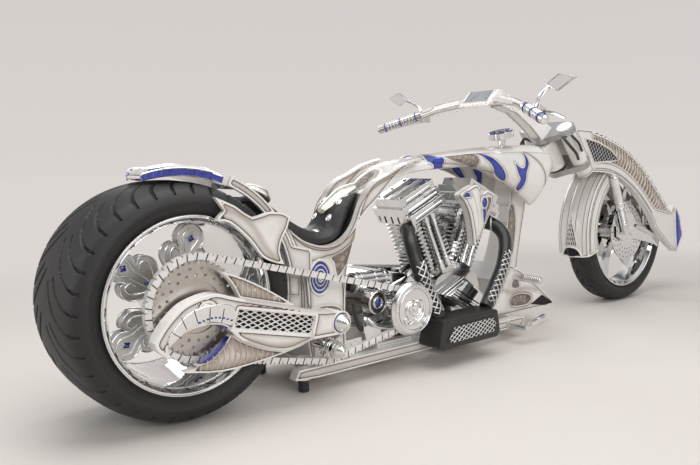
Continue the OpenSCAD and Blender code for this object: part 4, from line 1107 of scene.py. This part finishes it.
# Induction: a carburettor between the cylinders with its hose and a white shield-shaped air cleaner,
# inlaid in tan with a blue stem, a blue stone in a white setting and two raised bands.
outline = curve_through([(1046, 589), (1086, 610), (1129, 623), (1149, 607), (1165, 590), (1190, 599),
        (1226, 581), (1219, 544), (1199, 504), (1175, 465), (1158, 436), (1123, 399), (1115, 447),
        (1095, 522), (1070, 563)], True, 3)
bm = bmesh.new()
slab(bm, outline, -150, -190, 5, 0)
points = [at(x, -190, z) for x, z in curve_through(outline.tolist(), True, 3)]
grid_cut(bm, 0.005)
mark_edges(bm, points)
shield = seat_piece(bm, "air_cleaner_shell", pearl_paint("pearl_shield", lip=7.0, fade=14.0, depth=0.6),
    "chassis", ("air_cleaner",))
stencil(shield, tan=[[(1144, 584), (1165, 576), (1208, 572), (1203, 541), (1179, 500), (1170, 474),
            (1158, 522)]], blue=[[(1162, 529), (1180, 528), (1174, 478)],
        [(1060, 588), (1081, 597), (1097, 582), (1066, 580)]])
bm = bmesh.new()
ball(bm, (1170, -190, 556), (15, 19, 9), (0, -1, 0), 24, 0)
ring(bm, (1170, -191, 556), (0, -1, 0), 21, 2.8, 40, 1, 0.8)
for line in ([(1100, -190, 604), (1122, -191, 560), (1138, -191, 500), (1134, -190, 430)],
        [(1150, -190, 598), (1152, -191, 560), (1160, -191, 500), (1152, -190, 450)]):
    wire(bm, line, [1.6, 2.8, 1.6], 1, 3)
for line, size in (([(1090, -150, 512), (1060, -170, 470), (1058, -150, 420)], 6),
        ([(1150, -100, 520), (1180, -150, 500), (1200, -140, 430)], 6)):
    wire(bm, line, size, 2, 4)
CARB_X, CARB_Z = 1123, 500
rod(bm, (CARB_X, -128, CARB_Z), (0, -1, 0), 38, 22, 34, 32, 3)
for y in (-132, -138, -144):
    ring(bm, (CARB_X, y, CARB_Z), (0, 1, 0), 37, 2.0, 40, 3)
for dx, dz in ((-24, 26), (24, 26), (-24, -26), (24, -26)):
    rod(bm, (CARB_X + dx, -112, CARB_Z + dz), (0, -1, 0), 7, 14, 7, 12, 3)
seat_piece(bm, "air_cleaner_jewels", [enamel, ivory, black, chrome], "chassis", angle=50)

# Exhaust: two heat-proof black pipes into a black box under the engine. Silver lattice shields are
# strapped along the pipes' lower halves, and the box has a lattice over its outlet.
PIPE_R, SHIELD_R = 25, 27.5
SHIELD_WAY, SHIELD_HALF = (0.50, -0.86, 0.1), 85
STRAND, STRAND_TURN = 24.0, 56.0
heat_black = gloss("heat_black", (0.020, 0.019, 0.018), (0.010, 0.010, 0.010), 0.42, 25.0, 0.1)
dressed("muffler_box", heat_black, "chassis", 0.008, 3)
pipes = {
    "rear": [(905, -60, 468), (872, -96, 462), (846, -140, 420), (850, -172, 340), (878, -190, 250),
        (905, -212, 172)],
    "front": [(1330, -60, 462), (1352, -100, 446), (1345, -145, 400), (1290, -182, 320), (1215, -204, 240),
        (1150, -215, 172)]}
bm = bmesh.new()
for line in pipes.values():
    wire(bm, line, PIPE_R, 0, 8)
seat_piece(bm, "exhaust_pipes_skin", heat_black, "chassis", ("exhaust_pipes",), 60)
bm = bmesh.new()
for line, first in ((pipes["rear"], 0.46), (pipes["front"], 0.40)):
    path = curve_through(line, False, 20)
    reach = np.concatenate(([0], np.cumsum(np.linalg.norm(np.diff(path, axis=0), axis=1))))
    for hand in (-1, 1):
        for k in range(-6, 20):
            run = []
            for i, spot in enumerate(path):
                share = reach[i] / reach[-1]
                if first < share < 0.97:
                    turn = hand * (reach[i] - first * reach[-1] - k * STRAND) / STRAND * STRAND_TURN
                    if abs(turn) <= SHIELD_HALF:
                        t = path[min(i + 1, len(path) - 1)] - path[max(i - 1, 0)]
                        t /= np.linalg.norm(t)
                        o = np.array(SHIELD_WAY)
                        o -= t * (o @ t)
                        o /= np.linalg.norm(o)
                        s = np.cross(t, o)
                        a = math.radians(turn)
                        run.append(spot + SHIELD_R * (o * math.cos(a) + s * math.sin(a)))
            if len(run) > 2:
                wire(bm, run, 2.3, 0, 1, False, False)
box_window = [(884, 100), (915, 146), (1118, 150), (1140, 120), (1122, 94), (905, 90)]
slab(bm, box_window, -275.6, -274, 0, 1)
lattice(bm, box_window, -277.0, 13.0, 32, 1.7, 0, 4)
wire(bm, [(x, -276.5, z) for x, z in box_window], 2.6, 2, 2, True, False)
for place, way, size in (((905, -60, 468), (-0.7, -0.7, 0), 33), ((1330, -60, 462), (0.5, -0.85, 0), 33)):
    ring(bm, Vector(place) + Vector(way) * 26, way, size - 4, 4.0, 32, 0)
silver = metal("satin_silver", (0.80, 0.79, 0.77), 0.38, 0.05)
seat_piece(bm, "exhaust_shields", [silver, net, heat_black], "chassis", angle=50)

# Gearbox and starter: a polished case behind the engine with bolted covers, the starter's ringed end
# and its oil lines; a round cover with a cast scroll ornament closes the front sprocket.
STARTER_X, STARTER_Z = 672, 247
dressed("transmission", chrome, "chassis", 0.006, 3)
dressed("sprocket_cover", chrome, "chassis", 0.004, 3)
bm = bmesh.new()
for y, radius, thick, look in ((-160, 36, 3, 0), (-160.5, 27, 2.6, 2), (-161, 18, 2.6, 0)):
    ring(bm, (STARTER_X, y, STARTER_Z), (0, 1, 0), radius, thick, 40, look)
ball(bm, (STARTER_X, -160, STARTER_Z), (11, 11, 6), (0, -1, 0), 16, 1)
rod(bm, (610, -92, 312), (1, 0, 0), 32, 150, 32, 32, 0)
for x in (618, 640, 700, 745):
    ring(bm, (x, -92, 312), (1, 0, 0), 32.5, 2.6, 32, 0)
rod(bm, (594, -92, 312), (1, 0, 0), 24, 18, 30, 32, 2)
for line, size, look in (([(655, -122, 190), (690, -140, 160), (760, -136, 150), (830, -130, 170)], 8, 0),
        ([(700, -118, 300), (730, -136, 270), (800, -132, 290), (880, -112, 330)], 7, 0),
        ([(640, -110, 150), (610, -126, 180), (600, -116, 250)], 7, 2),
        ([(820, -110, 330), (870, -120, 350), (930, -100, 330)], 9, 2)):
    wire(bm, line, size, look, 4)
for i in range(6):
    angle = math.tau * i / 6
    rod(bm, (DRIVE_X + 96 * math.cos(angle), -120, DRIVE_Z + 84 * math.sin(angle)), (0, -1, 0), 7, 5, 7, 6,
        0)
for radius, thick in ((82, 2.4), (70, 1.6)):
    ring(bm, (DRIVE_X, -236 if radius < 75 else -231, DRIVE_Z), (0, 1, 0), radius, thick, 64, 0)
for hand in (-1, 1):
    for size, lift in ((1.0, 0), (0.66, 9)):
        wire(bm, [(DRIVE_X + hand * size * p[0], -238, DRIVE_Z + lift + size * p[1])
                for p in ((4, -44), (26, -30), (40, -4), (30, 22), (10, 28), (2, 14), (14, 6))],
            [3, 5, 6, 5.4, 4.4, 3.6, 2.4], 0, 3)
    wire(bm, [(DRIVE_X + hand * p[0], -238, DRIVE_Z + p[1])
            for p in ((10, -40), (34, -48), (48, -34), (44, -22))], [5, 4.4, 3.4, 2.2], 0, 3)
ball(bm, (DRIVE_X, -237, 232), (13, 20, 9), (0, -1, 0), 20, 0)
ball(bm, (DRIVE_X, -237, 182), (7, 13, 6), (0, -1, 0), 16, 0)
slab(bm, [(440, 86), (640, 92), (632, 130), (560, 128), (520, 104)], -120, -112, 2, 3)
rod(bm, (600, -120, 108), (0, -1, 0), 14, 3, 13, 24, 1)
seat_piece(bm, "gearbox_fittings", [chrome, enamel, black, white_lacquer], "chassis", angle=50)

# Chin and footwork: a painted fairing under the downtube with tan windows and a dark pointed tip,
# chrome pegs with knurled rings, twisted pedals, and two black-footed parking legs in white housings.
chin = dressed("chin_fairing", pearl, "chassis", 0.005, 3, pitch=0.008)
stencil(chin, tan=[[(1436, 196), (1462, 238), (1486, 190)],
        [(1435, 118), (1440, 152), (1500, 160), (1564, 140), (1540, 110)]],
    lines=[[(1380, 190), (1440, 172), (1520, 180), (1600, 160)]])
dressed("forward_controls", chrome, "chassis", 0.003, 2)
dressed("stand_legs", gloss("foot_rubber", (0.022, 0.022, 0.022), (0.012, 0.012, 0.012), 0.5, 80.0, 0.1),
    "stand", 0.003, 2)
bm = bmesh.new()
for side in (-1, 1):
    for y in range(170, 240, 9):
        ring(bm, (1450, side * y, 236), (0, 1, 0), 14.2, 1.7, 28, 0)
    ball(bm, (1450, side * 239, 236), (12, 12, 5), (0, side, 0), 16, 0)
    wire(bm, [(1336 + 17 * i, side * (254 + 5 * math.sin(i * 1.3)), 68 + 3.8 * i + 3 * math.cos(i * 1.3))
            for i in range(8)], 7, 0, 3)
    slab(bm, [(1560, 106), (1660, 88), (1716, 93), (1640, 136)], side * 111 - 1.5, side * 111 + 1.5, 1, 1)
    wire(bm, [(1400, side * 110.5, 226), (1424, side * 111.5, 262), (1470, side * 110.5, 262),
            (1560, side * 110.5, 208), (1640, side * 110.5, 150)], 2.6, 2, 3)
seat_piece(bm, "chin_fittings", [chrome, net, white_lacquer], "chassis", angle=50)

# Fork and beak: smoked plated yokes, white tubes and two arched side plates that end in a pointed nose.
# Each plate has a ribbed, scalloped tan web, a net window in a white frame, and a ribbed blue lamp.
smoked_chrome = metal("smoked_chrome", (0.46, 0.46, 0.47), 0.12, 0.04)
dressed("yokes", smoked_chrome, "fork", 0.004, 3)
dressed("front_beak", pearl_paint("pearl_beak", lip=6.0, fade=16.0, depth=0.45), "fork",
    0.004, 3, pitch=0.008)
dressed("beak_lamps", lens, "fork", 0.002, 2)
dressed("headlamp", chrome, "fork", 0.003, 2)
glass = gloss("smoked_glass", (0.30, 0.31, 0.33), (0.20, 0.21, 0.23), 0.05, 30.0)
yellow = gloss("yellow_check", (0.72, 0.58, 0.12), (0.55, 0.43, 0.08), 0.3, 80.0)
web_dark = gloss("web_shade", (0.30, 0.235, 0.175), (0.17, 0.13, 0.10), 0.4, 22.0, 0.4)
top_line = curve_through([(-400, 832), (-259, 801), (-100, 745), (42, 661), (195, 542), (320, 436)],
    False, 16)
low_line = curve_through([(-380, 648), (-261, 640), (-138, 603), (2, 525), (133, 419), (205, 395)],
    False, 16)
bm = bmesh.new()
for side in (-1, 1):
    floor_y = side * 102.2
    net_window = [(1932, 796), (2036, 782), (2140, 748), (2220, 700), (2150, 692), (2008, 690)]
    for i in range(30):
        share = (i + 0.5) / 30
        k = share * (len(top_line) - 1)
        a = np.array([np.interp(k, range(len(top_line)), top_line[:, c]) for c in (0, 1)])
        b = np.array([np.interp(k, range(len(low_line)), low_line[:, c]) for c in (0, 1)])
        along = (b - a) / np.linalg.norm(b - a)
        a, b = a + along * 19, b - along * 51
        if np.linalg.norm(b - a) < 10 or (b - a) @ along < 0:
            continue
        lean = np.array((along[1], -along[0])) * -8
        middle = (a + b) / 2 + lean
        wire(bm, [(FRONT_X + a[0], floor_y, a[1]), (FRONT_X + middle[0], floor_y + side * 2.5, middle[1]),
                (FRONT_X + b[0], floor_y, b[1])], [4.0, 7.5, 4.0], 0, 3)
        wire(bm, [(FRONT_X + a[0] - 9, floor_y + side * 1.5, a[1] + 2),
                (FRONT_X + a[0], floor_y + side * 4, a[1] - 3),
                (FRONT_X + a[0] + 9, floor_y + side * 1.5, a[1] - 4)], 2.6, 2, 2)
    web = [(FRONT_X + p[0], p[1] - 17) for p in top_line[::6]] + [(FRONT_X + p[0] + 18, p[1] + 46)
        for p in low_line[::-6]]
    slab(bm, web, side * 102.1, side * 102.6, 0, 1)
    slab(bm, net_window, side * 104, side * 112.6, 0, 3)
    lattice(bm, net_window, side * 113.0, 17.0, 45, 0.8, 2, -12)
    wire(bm, [(x, side * 112.5, z) for x, z in net_window], 4.5, 2, 3, True, False)
    for i in range(17):
        for j in range(6):
            x, z = 1962 + 14 * i, 700 + 14 * j + 3 * (i % 2)
            if 786 - 1.38 * (x - 1944) < z < 796 - 0.40 * (x - 1950) - 10 and (i * 7 + j * 5) % 3 == 0:
                look = 5 if (i + 2 * j) % 7 == 3 else 4
                rod(bm, (x, side * 112.2, z), (0, side, 0), 5.2, 1.2, 5.2, 4, look)
    for i in range(7):
        share = (i + 0.5) / 7
        wire(bm, [(2768 + 76 * share, side * 118, 436 - 130 * share ** 1.2),
                (2780 + 20 * share, side * 118.6, 336 - 108 * share)], 2.0, 6, 2)
    wire(bm, [(FRONT_X + x, side * 116, z) for x, z in ((362, 450), (412, 401), (451, 292), (394, 216),
                (376, 330))], 5.0, 2, 3, True, False)
    wire(bm, [(2020, side * 112.4, 664), (2139, side * 112.4, 656), (2270, side * 112.4, 614),
            (2410, side * 112.4, 536), (2540, side * 112.4, 430)], 1.2, 3, 2)
ball(bm, (2123, 0, 740), (58, 58, 12), (0.87, 0, 0.5), 32, 7)
seat_piece(bm, "beak_fittings", [tan_lacquer, web_dark, white_lacquer, net, enamel, yellow, lens, glass],
    "fork", angle=50)

# Front fender: a deep skirted shell over the front tyre, hung from the beak. Dark pinstripes follow its
# ridge and skirt, and its lower end has a net triangle above a rolled lip.
dressed("front_fender", pearl_paint("pearl_fender", lip=6.0, fade=18.0, depth=0.4), "fork",
    0.003, 2, pitch=0.012, sharp=32.0, angle=35.0)
skin = surface(nodes["front_fender"].data)


def on_fender(angle, y, lift=0.3):
    """A place on the fender's crown: an angle about the axle from ahead, and how far from the middle."""
    c, s = math.cos(math.radians(angle)), math.sin(math.radians(angle))
    spot, _ = touch(skin, (FRONT_X + 600 * c, y, FRONT_R + 600 * s), (-c, 0, -s))
    return (spot[0] + c * lift, y, spot[2] + s * lift) if spot else None


bm = bmesh.new()
for side in (-1, 1):
    for y in (22, 57):
        run = [on_fender(a, side * y) for a in range(116, 194, 4)]
        wire(bm, [p for p in run if p], 1.1, 0, 2)
    for radius, thick in ((356, 1.5), (318, 1.0)):
        run = [(FRONT_X + radius * math.cos(math.radians(a)), side * 80.1,
                FRONT_R + radius * math.sin(math.radians(a))) for a in range(116, 195, 4)]
        wire(bm, run, thick, 0, 2)
lip_end = math.radians(194.5)
lip_line = ((296, -79), (360, -79), (373, -76), (385, -56), (389, -26), (396, 0), (389, 26), (385, 56),
    (373, 76), (360, 79), (296, 79))
lip = [(FRONT_X + radius * math.cos(lip_end), y, FRONT_R + radius * math.sin(lip_end))
    for radius, y in lip_line]
wire(bm, lip, 4.5, 1, 3, False, False)
for first, last, wide, round_end in ((165.0, 186.5, 34, False), (187.5, 194.4, 48, True)):
    made = bmesh.ops.create_grid(bm, x_segments=14, y_segments=10, size=1.0)["verts"]
    rim = []
    for v in made:
        share = (v.co.y + 1) / 2
        reach = wide * (math.sqrt(max(0.0, 1 - (1 - share) ** 2)) if round_end else share)
        y = v.co.x * max(reach, 0.5)
        if abs(abs(v.co.x) - 1) < 1e-4:
            rim.append((share, v.co.x, y))
        v.co = at(*on_fender(first + (last - first) * share, y, 0.2))
    out = bmesh.ops.extrude_face_region(bm, geom=once(f for v in made for f in v.link_faces))
    top = [v for v in out["geom"] if isinstance(v, bmesh.types.BMVert)]
    for v in top:
        v.co += Vector((v.co.x * 1000 + MID_X - FRONT_X, 0, v.co.z * 1000 - FRONT_R)).normalized() * 0.001
    faces = once(f for v in made + top for f in v.link_faces)
    bmesh.ops.recalc_face_normals(bm, faces=faces)
    for f in faces:
        f.material_index = 2
    border = [(s, y) for s, x, y in sorted(rim, reverse=True) if x < 0]
    border += [(s, y) for s, x, y in sorted(rim) if x > 0]
    run = [on_fender(first + (last - first) * s, y, 1.2) for s, y in border]
    wire(bm, run, 4.6 if round_end else 3.2, 1, 3, not round_end, False)
for k in range(-4, 5):
    for hand in (-1, 1):
        run = [on_fender(a, 8 * k + hand * 1.3 * (a - 176), 1.4) for a in np.linspace(166, 186.5, 10)
            if abs(8 * k + hand * 1.3 * (a - 176)) < (a - 165) * 1.62]
        run = [p for p in run if p]
        if len(run) > 1:
            wire(bm, run, 1.3, 1, 1, False, False)
seat_piece(bm, "fender_lines", [pinstripe, white_lacquer, net], "fork", angle=60)

# Front suspension and wheel: plated trailing links with drilled calipers, two shocks with white upper
# tubes and turned chrome rods, and a plated wheel with curved blades and two drilled discs.
dressed("trailing_links", chrome, "fork", 0.004, 3)
dressed("shocks", chrome, "fork", 0.002, 2, sharp=40.0, angle=60.0)
dressed("front_wheel", chrome, "front_wheel", 0.0022, 2, sharp=30.0, angle=38.0)
bm = bmesh.new()
for side in (-1, 1):
    top, low = Vector((2194, side * 98, 634)), Vector((2320, side * 98, 345))
    way = (low - top).normalized()
    rod(bm, top + way * 18, way, 18.5, 160, 18.5, 28, 1)
    for share in (16, 150, 176, 186, 200):
        ring(bm, top + way * share, way, 19 if share < 180 else 16.4, 2.4, 28, 0)
    for k in range(7):
        ring(bm, top + way * (210 + 9 * k), way, 16.4, 2.2, 24, 0)
    ball(bm, top + way * 4, (17, 17, 15), way, 20, 0)
    line = [(2440, side * 80.5, 372), (2500, side * 81, 352), (2560, side * 81, 330),
        (2630, side * 80.5, 304)]
    wire(bm, line, [8, 14, 11, 7], 0, 4)
    rod(bm, (FRONT_X, side * 79, FRONT_R), (0, side, 0), 24, 6, 20, 6, 0)
    for k in range(3):
        ball(bm, (FRONT_X - 118 + 22 * k, side * 80, FRONT_R + 76 + 12 * k), (6, 6, 3), (0, side, 0), 12, 0)
seat_piece(bm, "suspension_fittings", [chrome, white_lacquer], "fork", angle=50)
bm = bmesh.new()
for side in (-1, 1):
    for row, radius in enumerate((92, 112, 132)):
        for i in range(24):
            angle = math.tau * (i + 0.5 * row) / 24
            rod(bm, (FRONT_X + radius * math.cos(angle), side * 62.1, FRONT_R + radius * math.sin(angle)),
                (0, side, 0), 3.2, 0.4, 3.2, 10, 0)
    ring(bm, (FRONT_X, side * 56.4, FRONT_R), (0, 1, 0), 276, 1.8, 96, 1)
seat_piece(bm, "disc_drillings", [net, chrome], "front_wheel", angle=50)

# Bars and cockpit: a white winged bar on a riser, a smoked window in a hood on its middle, ringed silver
# grips, chrome masters and levers, kite-shaped mirrors on stalks, hoses by the head and a round gauge.
dressed("handlebar", pearl_paint("pearl_bar", lip=5.0, fade=22.0, depth=0.7), "fork", 0.003,
    2, pitch=0.014, axes="xy", sharp=38.0, angle=50.0)
dressed("grips", metal("silver", (0.70, 0.70, 0.70), 0.2, 0.05), "fork", 0.002, 2, sharp=40.0,
    angle=60.0)
dressed("levers", chrome, "fork", 0.0025, 2, sharp=40.0, angle=60.0)
dressed("mirrors", chrome, "fork", 0.0015, 2, sharp=40.0, angle=60.0)
dressed("gauge", chrome, "chassis", 0.003, 3)
bm = bmesh.new()
slab(bm, [(1382, 988), (1318, 924), (1402, 931), (1480, 955), (1440, 982)], -80, 80, 6.0, 1)
slab(bm, [(1377, 985), (1336, 944), (1339, 941), (1380, 982)], -62, 62, 0, 0)
wire(bm, [(1377, -64, 984), (1377, 64, 984), (1336, 64, 943), (1336, -64, 943)], 2.6, 2, 3, True, False)
for k in range(7):
    ball(bm, (1325, 23 * (k - 3), 932), (5, 5, 3), (-0.7, 0, 0.7), 12, 2)
for side in (-1, 1):
    start, way = Vector((1300, side * 267, 905)), Vector((-100, side * 161, -60)).normalized()
    for k in range(11):
        ring(bm, start + way * (26 + 14 * k), way, 17.4, 2.2 if k % 5 else 3.2, 28, 3 if k % 5 == 0 else 2)
    ball(bm, start + way * 196, (17, 17, 8), way, 20, 2)
    rod(bm, (1330, side * 300, 898), (0.3, side * 0.1, 1), 16, 14, 14, 20, 2)
    rod(bm, (1358, side * 296, 884), (0, 0, 1), 9, 22, 9, 16, 2)
    kite = [(side * y, z) for y, z in ((-410, 1003), (-470, 990), (-406, 955), (-368, 976))]
    slab(bm, kite, 1300.4, 1299.4, 0, 4, "x")
    wire(bm, [(1299.6, side * y, z) for y, z in ((-410, 1007), (-478, 992), (-405, 951), (-361, 976))], 2.0,
        2, 2, True, False)
    for size, line in (
            (6.5, [(1806, 58, 842), (1786, 98, 806), (1796, 130, 764), (1834, 136, 732), (1866, 126, 706)]),
            (5.5, [(1820, 50, 836), (1806, 110, 822), (1836, 142, 780), (1874, 138, 742)])):
        wire(bm, [(x, side * y, z) for x, y, z in line], size, 5, 4)
    for k in range(9):
        ball(bm, (1310 + 12 * k, side * (250 - 24 * k), 893 + 3.6 * k), (3, 3, 2), (0, 0, -1), 8, 1)
mirror_glass = metal("mirror_glass", (0.88, 0.88, 0.88), 0.03, 0.01)
seat_piece(bm, "cockpit_fittings", [glass, white_lacquer, chrome, enamel, mirror_glass, black], "fork",
    angle=50)
bm = bmesh.new()
LEAN = math.radians(14)
tilt = Vector((-math.sin(LEAN), 0, math.cos(LEAN)))
dial = Vector((1500, 0, 800)) + tilt * 18
rod(bm, dial, tilt, 41.5, 1.2, 41.5, 48, 0)
for k in range(11):
    angle = math.radians(-130 + 26 * k)
    way = Vector((math.cos(angle) * math.cos(LEAN), math.sin(angle), math.cos(angle) * math.sin(LEAN)))
    wire(bm, [dial + tilt * 1.6 + way * 30, dial + tilt * 1.6 + way * 37], 1.0, 1, 1, False, False)
wire(bm, [dial + tilt * 2, dial + tilt * 2 + Vector((20, 18, 5))], 1.2, 2, 1, False, False)
ring(bm, dial + tilt * 8, tilt, 47, 3.2, 56, 2)
seat_piece(bm, "gauge_dial", [net, white_lacquer, enamel], "chassis", angle=50)
